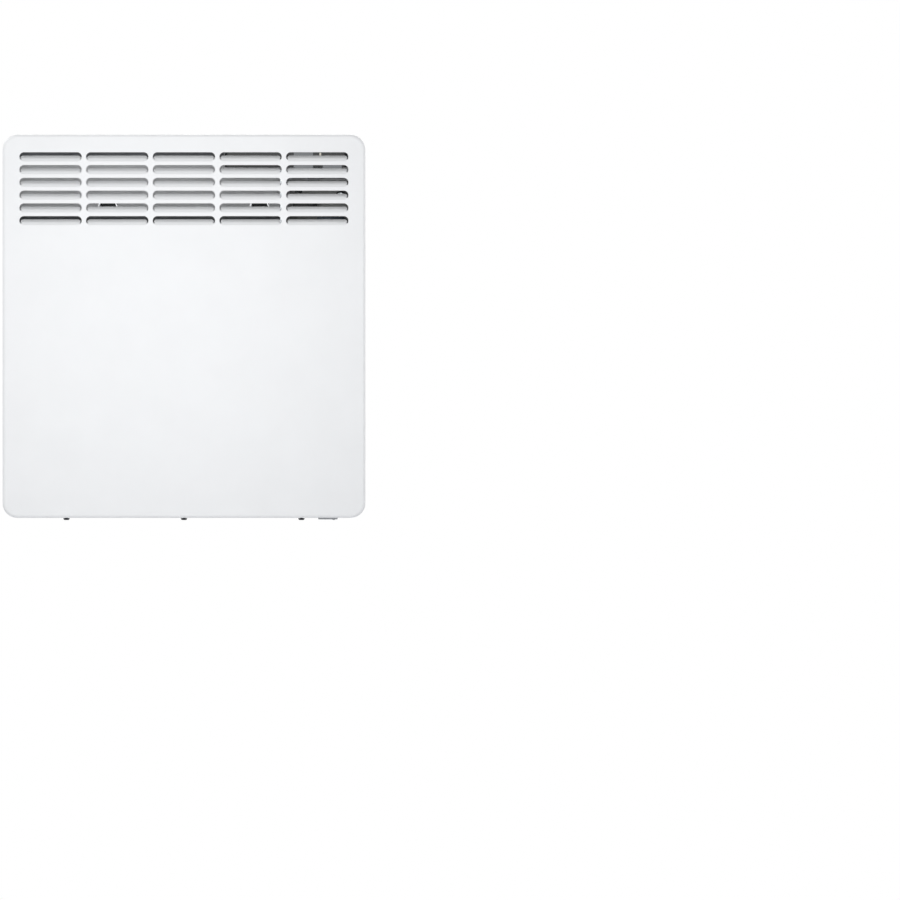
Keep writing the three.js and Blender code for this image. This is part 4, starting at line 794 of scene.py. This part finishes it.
# ------------------------
# Terminal block and earth screw
# Three poles in natural nylon, with steel clamp screws deep in round wells, and a plated screw for the earth lead.
# Natural nylon: unpigmented, so it is slightly warm and waxy.
natural_nylon = finish("natural_nylon", "#d5d1c4", "#dfdbd0", 0.48, 0.0006, 0.15)
dress(softened("terminal_block", 0.0005, 3), "terminal_block_moulded", natural_nylon,
      stands_for=["terminal_block"])
block_low, block_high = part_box("terminal_block")
clamps = []
for pole in range(3):
    x = block_low.x + (block_high.x - block_low.x) * (2 * pole + 1) / 6
    place = (x, block_low.y + 0.0058, (block_low.z + block_high.z) / 2)
    clamp = turned([(0.0020, 0), (0.0023, -0.0003), (0.0023, -0.0014), (0.0019, -0.0018)], place, "y", 24)
    cut_away(clamp, block((x - 0.0025, place[1] - 0.0022, place[2] - 0.0003),
                          (x + 0.0025, place[1] - 0.0011, place[2] + 0.0003)))
    clamps.append(clamp)
clamps = union(*clamps)
smooth(clamps, 35)
dress(clamps, "terminal_block_clamp_screws", zinc_plate)

earth_low, earth_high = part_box("earth_screw")
deep = earth_high.y - earth_low.y
earth = turned([(0.0030, 0), (0.0037, 0.0003), (0.0040, 0.0008), (0.0040, 0.0024), (0.0019, 0.0024),
                (0.0020, 0.0030), (0.0020, deep - 0.0005), (0.0015, deep)], (EARTH[0], earth_low.y, EARTH[1]), "y", 32)
for wide, tall in ((0.0021, 0.0004), (0.0004, 0.0021)):
    cut_away(earth, block((EARTH[0] - wide, earth_low.y - 0.001, EARTH[1] - tall),
                          (EARTH[0] + wide, earth_low.y + 0.001, EARTH[1] + tall)))
smooth(earth, 35)
dress(earth, "earth_screw_plated", zinc_plate, stands_for=["earth_screw"])


# ------------------------
# Power board on its carrier
# A laminate board stands on four posts of a moulded plate, and carries a relay, a laminated mains transformer, a
# storage capacitor and small parts, all soldered.
# Carrier: white ABS, moulded, with a fine satin grain.
white_abs = finish("moulded_white_abs", "#e4e5e7", "#ebecee", 0.4, 0.0004, 0.15)
# Relay and chips: glossy black epoxy and PBT.
black_epoxy = finish("black_moulded_epoxy", "#151618", "#1d1e20", 0.35, 0.0004, 0.12)
# Bare laminate: paper and epoxy, without a mask on the parts' side, so it is a warm grey with a faint fibre.
bare_laminate = finish("bare_paper_laminate", "#a0a19f", "#aaaba9", 0.5, 0.0008, 0.08)

def ease(thing):
    """Rounds a moulded or stacked block's edges by 0.3 mm."""
    apply(thing, "BEVEL", width=0.0003, segments=2, limit_method="ANGLE", angle_limit=math.radians(50))
    smooth(thing, 40)


dress(softened("board_carrier", 0.0004), "board_carrier_moulded", white_abs,
      stands_for=["board_carrier"])
dress(softened("power_board", 0.00015), "power_board_laminate", bare_laminate,
      stands_for=["power_board"])
relay_low, relay_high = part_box("relay")
relay = rounded(relay_low, relay_high, "y", 0.0010, 3)
ease(relay)
dress(relay, "relay_cover", black_epoxy, stands_for=["relay"])

# Transformer: a stack of steel laminations with the winding's bobbin standing proud at both ends
STACK = 0.024
trans_low, trans_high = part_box("transformer")
trans_x, trans_z = (trans_low.x + trans_high.x) / 2, (trans_low.z + trans_high.z) / 2
# Transformer steel: blued sheets 0.5 mm thick. Their edges are drawn as lines 2 mm apart, coarse enough to show.
lamination = finish("blued_transformer_steel", "#50545a", "#5f646a", 0.45, 0.0006, 0.1, Metallic=1.0)
tree = lamination.node_tree
where = add(tree, "ShaderNodeTexCoord")
sheets = add(tree, "ShaderNodeTexWave", {"Scale": 1 / (0.002 * math.pi), "Distortion": 0.0},
             {"Vector": where.outputs["Object"]}, wave_type="BANDS", bands_direction="Y")
ridge = add(tree, "ShaderNodeBump", {"Strength": 0.6, "Distance": 0.0002}, {"Height": sheets.outputs["Fac"]})
tree.links.new(ridge.outputs[0], tree.nodes["Principled BSDF"].inputs["Normal"])
core = rounded((trans_low.x, trans_low.y, trans_z - STACK / 2), (trans_high.x, trans_high.y, trans_z + STACK / 2),
               "y", 0.0008, 2)
ease(core)
dress(core, "transformer_core", lamination, stands_for=["transformer"])
bobbin = rounded((trans_x - 0.011, trans_high.y - 0.021, trans_low.z),
                 (trans_x + 0.011, trans_high.y - 0.0005, trans_high.z), "y", 0.0010, 3)
ease(bobbin)
dress(bobbin, "transformer_bobbin", natural_nylon)
windings = []
for foot, head in ((trans_low.z + 0.0008, trans_z - 0.0121), (trans_z + 0.0121, trans_high.z - 0.0008)):
    windings.append(rounded((trans_x - 0.0096, trans_high.y - 0.0225, foot),
                            (trans_x + 0.0096, trans_high.y - 0.0190, head), "z", 0.0016, 5))
winding = union(*windings)
smooth(winding, 40)
# Polyester tape, black, wound tight over the copper, so the turns show through as fine ridges.
winding_tape = finish("black_polyester_tape", "#17181a", "#1f2022", 0.3, 0.0004, 0.4, (0.1, 1, 1))
dress(winding, "transformer_winding", winding_tape)

# Capacitor: a sleeved aluminium can with a scored vent in its end, and a groove rolled near its seal
cap_low, cap_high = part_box("capacitor")
cap_x, cap_z = (cap_low.x + cap_high.x) / 2, (cap_low.z + cap_high.z) / 2
cap_radius, cap_long = (cap_high.x - cap_low.x) / 2, cap_high.y - cap_low.y
sleeve = turned([(0.0052, 0.0003), (0.0057, 0), (0.0060, 0.0002), (cap_radius, 0.0009),
                 (cap_radius, cap_long - 0.0040), (0.0058, cap_long - 0.0034), (0.0058, cap_long - 0.0030),
                 (cap_radius, cap_long - 0.0024), (cap_radius, cap_long - 0.0004), (0.0058, cap_long)],
                (cap_x, cap_low.y, cap_z), "y", 40)
smooth(sleeve, 35)
dress(sleeve, "capacitor_sleeve", black_epoxy, stands_for=["capacitor"])
vent = turned([(0.0049, 0.0001), (0.0051, 0.0002), (0.0051, 0.0005)], (cap_x, cap_low.y, cap_z), "y", 32)
for wide, tall in ((0.0038, 0.0002), (0.0002, 0.0038)):
    cut_away(vent, block((cap_x - wide, cap_low.y - 0.001, cap_z - tall),
                         (cap_x + wide, cap_low.y + 0.0003, cap_z + tall)))
smooth(vent, 35)
dress(vent, "capacitor_vent", rolled_aluminium)

# Small parts: rows of resistors, diodes and film capacitors, connectors along the lower edge, and a heat sink
board_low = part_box("power_board")[0]
PARTS = [  # x and height on the board in mm, then width, tall and depth in mm
    (10, 112, 9, 3.2, 3), (10, 104, 9, 3.2, 3), (10, 97, 9, 3.2, 3), (12, 60, 16, 10, 9), (34, 20, 12, 12, 5),
    (52, 20, 8, 8, 3), (10, 44, 3.2, 9, 3), (16, 44, 3.2, 9, 3), (22, 44, 3.2, 9, 3), (58, 36, 14, 5, 12),
    (36, 118, 16, 5, 9), (67, 70, 6, 6, 6), (68, 60, 5, 5, 4),
]
small = []
for x, height, wide, tall, deep in PARTS:
    middle = (board_low.x + x / 1000, board_low.z + height / 1000)
    small.append(rounded((middle[0] - wide / 2000, board_low.y - deep / 1000, middle[1] - tall / 2000),
                         (middle[0] + wide / 2000, board_low.y - 0.00002, middle[1] + tall / 2000), "y",
                         min(wide, tall) / 5000, 3))
small = union(*small)
ease(small)
dress(small, "power_board_small_parts", black_epoxy)
taps = [rounded((board_low.x + x, board_low.y - 0.009, board_low.z + 0.0015),
                (board_low.x + x + 0.009, board_low.y - 0.00002, board_low.z + 0.0075), "y", 0.0006, 2)
        for x in (0.012, 0.026, 0.031, 0.062)]
taps = union(*taps)
ease(taps)
dress(taps, "power_board_connectors", natural_nylon)


# ------------------------
# Control unit's fascia and housing
# A satin white ABS plate let into the shell's top, fixed on a black tub that hangs behind the louvres and holds the
# control board. The tub has ribs outside, and two connector covers on its front.
fascia = rounded(fascia_low, fascia_high, "z", 0.004, 8)
fascia_x, fascia_y = (fascia_low.x + fascia_high.x) / 2, (fascia_low.y + fascia_high.y) / 2
TOP = fascia_high.z
BUTTON_NAMES = ("menu", "minus", "plus", "timer", "power")
button_places = [fascia_x - 0.008 + 0.017 * step for step in range(5)]
window_low, window_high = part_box("display_window")
window_x = (window_low.x + window_high.x) / 2
with editing(fascia):
    pick(fascia, "faces", lambda face: lies(face, "z", TOP))
    bpy.ops.mesh.bevel(offset=0.0004, segments=3, affect="EDGES")
button_cuts = [rounded((x - 0.0058, fascia_y - 0.0043, TOP - 0.004), (x + 0.0058, fascia_y + 0.0043, TOP + 0.001), "z",
                       0.0023, 6) for x in button_places]
glass_cut = rounded((window_low.x - 0.0003, window_low.y - 0.0003, window_low.z - 0.0003),
                    (window_high.x + 0.0003, window_high.y + 0.0003, TOP + 0.001), "z", 0.0023, 6)
cut_away(fascia, glass_cut, *button_cuts)
cut_away(fascia, rounded((window_low.x + 0.001, window_low.y + 0.001, TOP - 0.004),
                         (window_high.x - 0.001, window_high.y - 0.001, TOP + 0.001), "z", 0.001, 4))
smooth(fascia, 35)
dress(fascia, "control_fascia_plate", white_abs, stands_for=["control_fascia"])

tub_low, tub_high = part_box("control_housing")
tub = softened("control_housing", 0.0006, 3)
ribs = []
for step in range(9):
    x = tub_low.x + 0.012 + 0.015 * step
    ribs.append(rounded((x - 0.0007, tub_low.y - 0.0006, tub_low.z + 0.002),
                        (x + 0.0007, tub_low.y + 0.001, tub_high.z - 0.002), "x", 0.0005, 3))
union(tub, *ribs)
smooth(tub, 40)
dress(tub, "control_housing_tub", black_nylon, stands_for=["control_housing"])
# Connector covers: dark grey ABS, moulded.
dark_grey_abs = finish("moulded_dark_grey_abs", "#727578", "#7d8083", 0.45, 0.0004, 0.15)
COVERS = [(0.129, 0.1515, BOTTOM + 0.4090, BOTTOM + 0.4320), (0.163, 0.1855, BOTTOM + 0.4090, BOTTOM + 0.4195)]
covers = [rounded((left, tub_low.y - 0.0009, foot), (right, tub_low.y + 0.0005, head), "y", 0.001, 4)
          for left, right, foot, head in COVERS]
covers = union(*covers)
smooth(covers, 40)
dress(covers, "connector_covers", dark_grey_abs)
plug = rounded((0.1590, tub_low.y - 0.0010, BOTTOM + 0.4245), (0.1612, tub_low.y + 0.0005, BOTTOM + 0.4290), "y",
               0.0006, 3)
smooth(plug, 40)
dress(plug, "service_connector", natural_nylon)


# ------------------------
# Display
# A smoked acrylic window is bonded into the fascia. Under it a module shows the room's temperature in seven-segment
# figures on a dark panel.
# Smoked acrylic: polished, tinted, and clear enough to read through.
smoked_acrylic = finish("smoked_acrylic", "#7d8388", "#83898e", 0.04, 0.002, 0.01, Transmission_Weight=0.9, IOR=1.49)
window = rounded(window_low, window_high, "z", 0.002, 8)
with editing(window):
    pick(window, "edges", lambda edge: lies(edge, "z", window_high.z))
    bpy.ops.mesh.bevel(offset=0.0003, segments=3, affect="EDGES")
smooth(window, 30)
dress(window, "display_window_lens", smoked_acrylic, stands_for=["display_window"])

module_low, module_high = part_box("display_module")
# Display module: a matt black glass-filled frame with its dark liquid crystal cell.
module = rounded(module_low, module_high, "z", 0.0008, 3)
with editing(module):
    pick(module, "faces", lambda face: lies(face, "z", module_high.z))
    bpy.ops.mesh.inset(thickness=0.0018)
    bpy.ops.transform.translate(value=(0, 0, -0.0004))
apply(module, "BEVEL", width=0.0002, segments=2, limit_method="ANGLE", angle_limit=math.radians(50))
smooth(module, 40)
dress(module, "display_module_frame", black_epoxy, stands_for=["display_module"])
# Lit segments: pale ink on the cell, read against the dark.
pale_ink = finish("pale_segment_ink", "#cfd8dc", "#dbe3e6", 0.5, 0.0005, 0.05)
SEGMENTS = {"2": "abged", "1": "bc", "5": "afgcd"}
STROKES = {  # from corner to corner of a figure 4 wide and 8 tall
    "a": ((0, 8), (4, 8)), "b": ((4, 4), (4, 8)), "c": ((4, 0), (4, 4)), "d": ((0, 0), (4, 0)),
    "e": ((0, 0), (0, 4)), "f": ((0, 4), (0, 8)), "g": ((0, 4), (4, 4)),
}
figure_foot = (module_high.z - 0.00045, module_high.z - 0.0002)
strokes = []
for figure, left in (("2", -0.0120), ("1", -0.0055), ("5", 0.0030)):
    for letter in SEGMENTS[figure]:
        (ax, ay), (bx, by) = STROKES[letter]
        low = (window_x + left + min(ax, bx) / 1000 + (0.0005 if ax != bx else -0.0004),
               fascia_y - 0.004 + min(ay, by) / 1000 + (0.0005 if ay != by else -0.0004), figure_foot[0])
        high = (window_x + left + max(ax, bx) / 1000 - (0.0005 if ax != bx else -0.0004),
                fascia_y - 0.004 + max(ay, by) / 1000 - (0.0005 if ay != by else -0.0004), figure_foot[1])
        strokes.append(rounded(low, high, "z", 0.0003, 2))
strokes.append(rounded((window_x + 0.0006, fascia_y - 0.0044, figure_foot[0]), (window_x + 0.0015, fascia_y - 0.0035,
                       figure_foot[1]), "z", 0.0003, 2))
strokes = union(*strokes)
smooth(strokes, 40)
dress(strokes, "display_figures", pale_ink)


# ------------------------
# Buttons
# Five keys of light grey ABS, each with a flange that keeps it under the fascia, a stem on a tact switch, and a
# symbol printed in its slightly dished top. They move 0.6 mm.
# Light grey ABS: moulded with a fine satin grain.
grey_abs = finish("moulded_grey_abs", "#b0b2b4", "#b9bbbd", 0.42, 0.0004, 0.15)
# Print: dark grey pad-printed ink.
print_ink = finish("dark_printed_ink", "#3a3d40", "#44474a", 0.5, 0.0004, 0.05)
DISH = 0.0002


def stroke(low, high):
    """A flat printed bar on a button's top, from its middle, in mm."""
    return rounded((x + low[0] / 1000, fascia_y + low[1] / 1000, TOP - DISH - 0.0001),
                   (x + high[0] / 1000, fascia_y + high[1] / 1000, TOP - DISH + 0.00004), "z", 0.00015, 2)


def hoop(radius, gap=0):
    """A flat printed circle on a button's top, open over a part of its round."""
    thing = ring(32, radius / 1000, (x, fascia_y, TOP - DISH - 0.0001), (0, 0, math.radians(95.6)))
    with editing(thing):
        pick(thing, "verts", lambda vert: gap and vert.co.y - fascia_y > radius / 1000 * math.cos(math.radians(gap)))
        bpy.ops.mesh.delete(type="VERT")
        bpy.ops.mesh.select_all(action="SELECT")
        bpy.ops.mesh.extrude_region_move()
        bpy.ops.transform.translate(value=(0, 0, 0.00014))
    apply(thing, "SOLIDIFY", thickness=0.0004, offset=0)
    return thing


for name, x in zip(BUTTON_NAMES, button_places):
    button_low, button_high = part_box(f"button_{name}")
    cap = rounded((x - 0.0055, fascia_y - 0.004, button_high.z - 0.0033),
                  (x + 0.0055, fascia_y + 0.004, button_high.z), "z", 0.002, 6)
    with editing(cap):
        pick(cap, "edges", lambda edge: lies(edge, "z", button_high.z))
        bpy.ops.mesh.bevel(offset=0.0004, segments=3, affect="EDGES")
        pick(cap, "faces", lambda face: lies(face, "z", button_high.z))
        bpy.ops.mesh.inset(thickness=0.0009)
        bpy.ops.transform.translate(value=(0, 0, -DISH))
    flange = rounded((x - 0.0065, fascia_y - 0.005, button_high.z - 0.0038), (x + 0.0065, fascia_y + 0.005,
                     button_high.z - 0.0028), "z", 0.002, 6)
    stem = turned([(0.0017, 0), (0.0020, 0.0003), (0.0020, 0.0036)], (x, fascia_y, button_low.z), "z", 24)
    button = union(cap, flange, stem)
    smooth(button, 35)
    dress(button, f"button_{name}_cap", grey_abs, f"{name}_button", [f"button_{name}"])
    marks = {
        "menu": lambda: [stroke((-1.8, level - 0.2), (1.8, level + 0.2)) for level in (-1.2, 0, 1.2)],
        "minus": lambda: [stroke((-1.7, -0.25), (1.7, 0.25))],
        "plus": lambda: [stroke((-1.7, -0.25), (1.7, 0.25)), stroke((-0.25, -1.7), (0.25, 1.7))],
        "timer": lambda: [hoop(1.7), stroke((-0.2, -0.2), (0.2, 1.1)), stroke((-0.2, -0.2), (1.0, 0.2))],
        "power": lambda: [hoop(1.6, 38), stroke((-0.2, 0.2), (0.2, 2.0))],
    }[name]()
    mark = union(*marks)
    smooth(mark, 40)
    dress(mark, f"button_{name}_symbol", print_ink, f"{name}_button")


# ------------------------
# Control board and tact switches
# A smaller glass-epoxy board lies on two rests in the tub. Each tact switch is a black moulded body under a pressed
# steel plate, with a round plunger; a controller chip and small parts lie between.
# Solder mask over copper: very dark green, with the tracks showing as paler lines about 0.5 mm wide.
solder_mask = finish("solder_masked_board", "#0d2417", "#12301f", 0.32, 0.0008, 0.08)
tree = solder_mask.node_tree
base = tree.nodes["Principled BSDF"].inputs["Base Color"]
mask = base.links[0].from_socket
where = add(tree, "ShaderNodeTexCoord")
upright = add(tree, "ShaderNodeMapping", {"Rotation": (math.pi / 2, 0, 0)}, {"Vector": where.outputs["Object"]})
tracks = add(tree, "ShaderNodeTexBrick", {"Scale": 1.0, "Mortar Size": 0.00025, "Brick Width": 0.009,
             "Row Height": 0.0031, "Mortar Smooth": 0.2}, {"Vector": upright.outputs[0]})
copper_tone = add(tree, "ShaderNodeMix", {7: linear("#2a5c3c")}, {0: tracks.outputs["Fac"], 6: mask}, data_type="RGBA")
tree.links.new(copper_tone.outputs[2], base)

dress(softened("control_board", 0.00015), "control_board_laminate", solder_mask,
      stands_for=["control_board"])
for name, x in zip(BUTTON_NAMES, button_places):
    tact_low, tact_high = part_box(f"tact_switch_{name}")
    body = rounded(tact_low, (tact_high.x, tact_high.y, tact_low.z + 0.0027), "z", 0.0004, 3)
    plunger = turned([(0.0015, 0), (0.0015, 0.0014), (0.0013, 0.0016)], (x, fascia_y, tact_high.z - 0.0016), "z", 24)
    union(body, plunger)
    smooth(body, 40)
    dress(body, f"tact_switch_{name}_body", black_epoxy, stands_for=[f"tact_switch_{name}"])
    plate = rounded((tact_low.x + 0.0003, tact_low.y + 0.0003, tact_low.z + 0.0026),
                    (tact_high.x - 0.0003, tact_high.y - 0.0003, tact_low.z + 0.0031), "z", 0.0005, 3)
    cut_away(plate, drill(0.0034, 0.002, (x, fascia_y, tact_low.z + 0.0029), "z", 24))
    smooth(plate, 40)
    dress(plate, f"tact_switch_{name}_plate", zinc_plate)
strip_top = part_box("control_board")[1].z
CHIPS = [
    (0.106, -0.0845, 0.010, 0.010, 0.0014), (0.121, -0.0845, 0.006, 0.004, 0.0014),
    (0.131, -0.0845, 0.003, 0.0016, 0.0008), (0.137, -0.0845, 0.003, 0.0016, 0.0008),
    (0.143, -0.0845, 0.003, 0.0016, 0.0008), (0.150, -0.0845, 0.008, 0.005, 0.0020),
    (0.106, -0.0650, 0.003, 0.0016, 0.0008), (0.1215, -0.0650, 0.0045, 0.0045, 0.0036),
]
chips = [rounded((left, near, strip_top - 0.00002), (left + wide, near + deep, strip_top + tall), "z", 0.0004, 3)
         for left, near, wide, deep, tall in CHIPS]
chips = union(*chips)
smooth(chips, 40)
dress(chips, "control_board_chips", black_epoxy)


# ------------------------
# Mains switch
# A snap-in rocker switch of light grey nylon in the floor's cut-out, with tinned spades on top. Its rocker tilts
# 8 degrees each way about two trunnions, and carries the two plain marks for off and on.
body = softened("mains_switch_body", 0.0002)
dress(body, "mains_switch_bezel", grey_abs, stands_for=["mains_switch_body"])
rocker = softened("mains_switch_rocker", 0.0005, 3)
dress(rocker, "mains_switch_rocker_cap", grey_abs, "rocker", ["mains_switch_rocker"])
ROCKER_TILT = math.radians(8)
PIVOT = (switch_x, switch_y, BOTTOM + 0.003)
FACE_DROP = 0.0035
marks = []
for side in (-1, 1):
    middle = (PIVOT[0] + side * 0.0046, PIVOT[1], PIVOT[2] - FACE_DROP - 0.0046 * math.tan(ROCKER_TILT))
    if side < 0:
        mark = ring(28, 0.0016, middle)
        with editing(mark):
            bpy.ops.mesh.extrude_region_move()
            bpy.ops.transform.translate(value=(0, 0, 0.0001))
        apply(mark, "SOLIDIFY", thickness=0.0005, offset=0)
    else:
        mark = rounded((middle[0] - 0.00025, middle[1] - 0.0017, middle[2]), (middle[0] + 0.00025, middle[1] + 0.0017,
                       middle[2] + 0.0001), "z", 0.0002, 2)
    with editing(mark):
        bpy.ops.transform.rotate(value=-side * ROCKER_TILT, orient_axis="Y", center_override=middle)
        bpy.ops.transform.translate(value=(0, 0, -0.00005))
        bpy.ops.transform.rotate(value=-ROCKER_TILT, orient_axis="Y", center_override=PIVOT)
    marks.append(mark)
marks = union(*marks)
smooth(marks, 40)
dress(marks, "mains_switch_rocker_marks", print_ink, "rocker")


# ------------------------
# Room sensor and clip
# A thermistor in a black epoxy bead is held by a forked nylon clip on the floor, in the cool air at the right.
dress(softened("sensor_clip", 0.0004, 3), "sensor_clip_moulded", white_abs,
      stands_for=["sensor_clip"])
sensor_low, sensor_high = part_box("room_sensor")
long = sensor_high.y - sensor_low.y
bead = turned([(0.0004, 0), (0.0011, 0.0002), (0.0017, 0.0008), (0.0020, 0.0018), (0.0020, long - 0.0014),
               (0.0017, long - 0.0006), (0.0012, long)],
              ((sensor_low.x + sensor_high.x) / 2, sensor_low.y, (sensor_low.z + sensor_high.z) / 2), "y", 28)
smooth(bead, 60)
dress(bead, "room_sensor_bead", black_epoxy, stands_for=["room_sensor"])


# ------------------------
# Inner leads
# Stranded leads in silicone, 2.6 mm over the insulation, run from the switch and the element to the board, the earth
# lead from the block to its screw, and a flat cable of eleven cores from the board to the control unit.
# Silicone insulation: soft, satin, extruded along the lead.
white_silicone = finish("white_silicone_insulation", "#dcdad4", "#e6e4de", 0.55, 0.0006, 0.1)
brown_silicone = finish("brown_silicone_insulation", "#5f3a22", "#6e452a", 0.55, 0.0006, 0.1)
# Earth insulation: yellow with a green stripe on each side.
earth_insulation = finish("green_yellow_insulation", "#3f8f3a", "#479a41", 0.5, 0.0006, 0.1)
tree = earth_insulation.node_tree
base = tree.nodes["Principled BSDF"].inputs["Base Color"]
green = base.links[0].from_socket
where = add(tree, "ShaderNodeTexCoord")
split = add(tree, "ShaderNodeSeparateXYZ", links={0: where.outputs["Object"]})
above = add(tree, "ShaderNodeMath", {1: EARTH[1]}, {0: split.outputs["Z"]}, operation="GREATER_THAN")
two_tone = add(tree, "ShaderNodeMix", {7: linear("#d9c62e")}, {0: above.outputs[0], 6: green}, data_type="RGBA")
tree.links.new(two_tone.outputs[2], base)
# Flat cable: grey PVC with a ridge over each core, 1.27 mm apart.
flat_cable = finish("ribbed_flat_cable", "#b9bcbf", "#c3c6c9", 0.5, 0.0006, 0.05)
tree = flat_cable.node_tree
where = add(tree, "ShaderNodeTexCoord")
cores = add(tree, "ShaderNodeTexWave", {"Scale": 1 / 0.00127 / 3.1831}, {"Vector": where.outputs["Object"]},
            wave_type="BANDS", bands_direction="X")
ridge = add(tree, "ShaderNodeBump", {"Strength": 0.8, "Distance": 0.0004}, {"Height": cores.outputs["Fac"]})
tree.links.new(ridge.outputs[0], tree.nodes["Principled BSDF"].inputs["Normal"])
for node, insulation, slot in (
    ("switch_feed_lead", brown_silicone, "lead_brown"), ("board_feed_lead", brown_silicone, "lead_brown"),
    ("element_lead_right", white_silicone, "lead_white"), ("element_lead_left", white_silicone, "lead_white"),
    ("sensor_lead", white_silicone, "lead_white"), ("earth_lead", earth_insulation, "lead_earth"),
):
    lead = bpy.data.objects.new(node + "_insulation", nodes[node].data.copy())
    bpy.context.collection.objects.link(lead)
    with editing(lead):
        bpy.ops.mesh.remove_doubles(threshold=1e-6)
        bpy.ops.mesh.tris_convert_to_quads(face_threshold=math.radians(60), shape_threshold=math.radians(60))
    apply(lead, "SUBSURF", levels=1, render_levels=1)
    smooth(lead, 60)
    dress(lead, node + "_insulation", insulation, stands_for=[node])
dress(softened("control_lead", 0.0003), "control_lead_flat_cable", flat_cable,
      stands_for=["control_lead"])


# ------------------------
# Size: the box of everything shown but the floor
low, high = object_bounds()
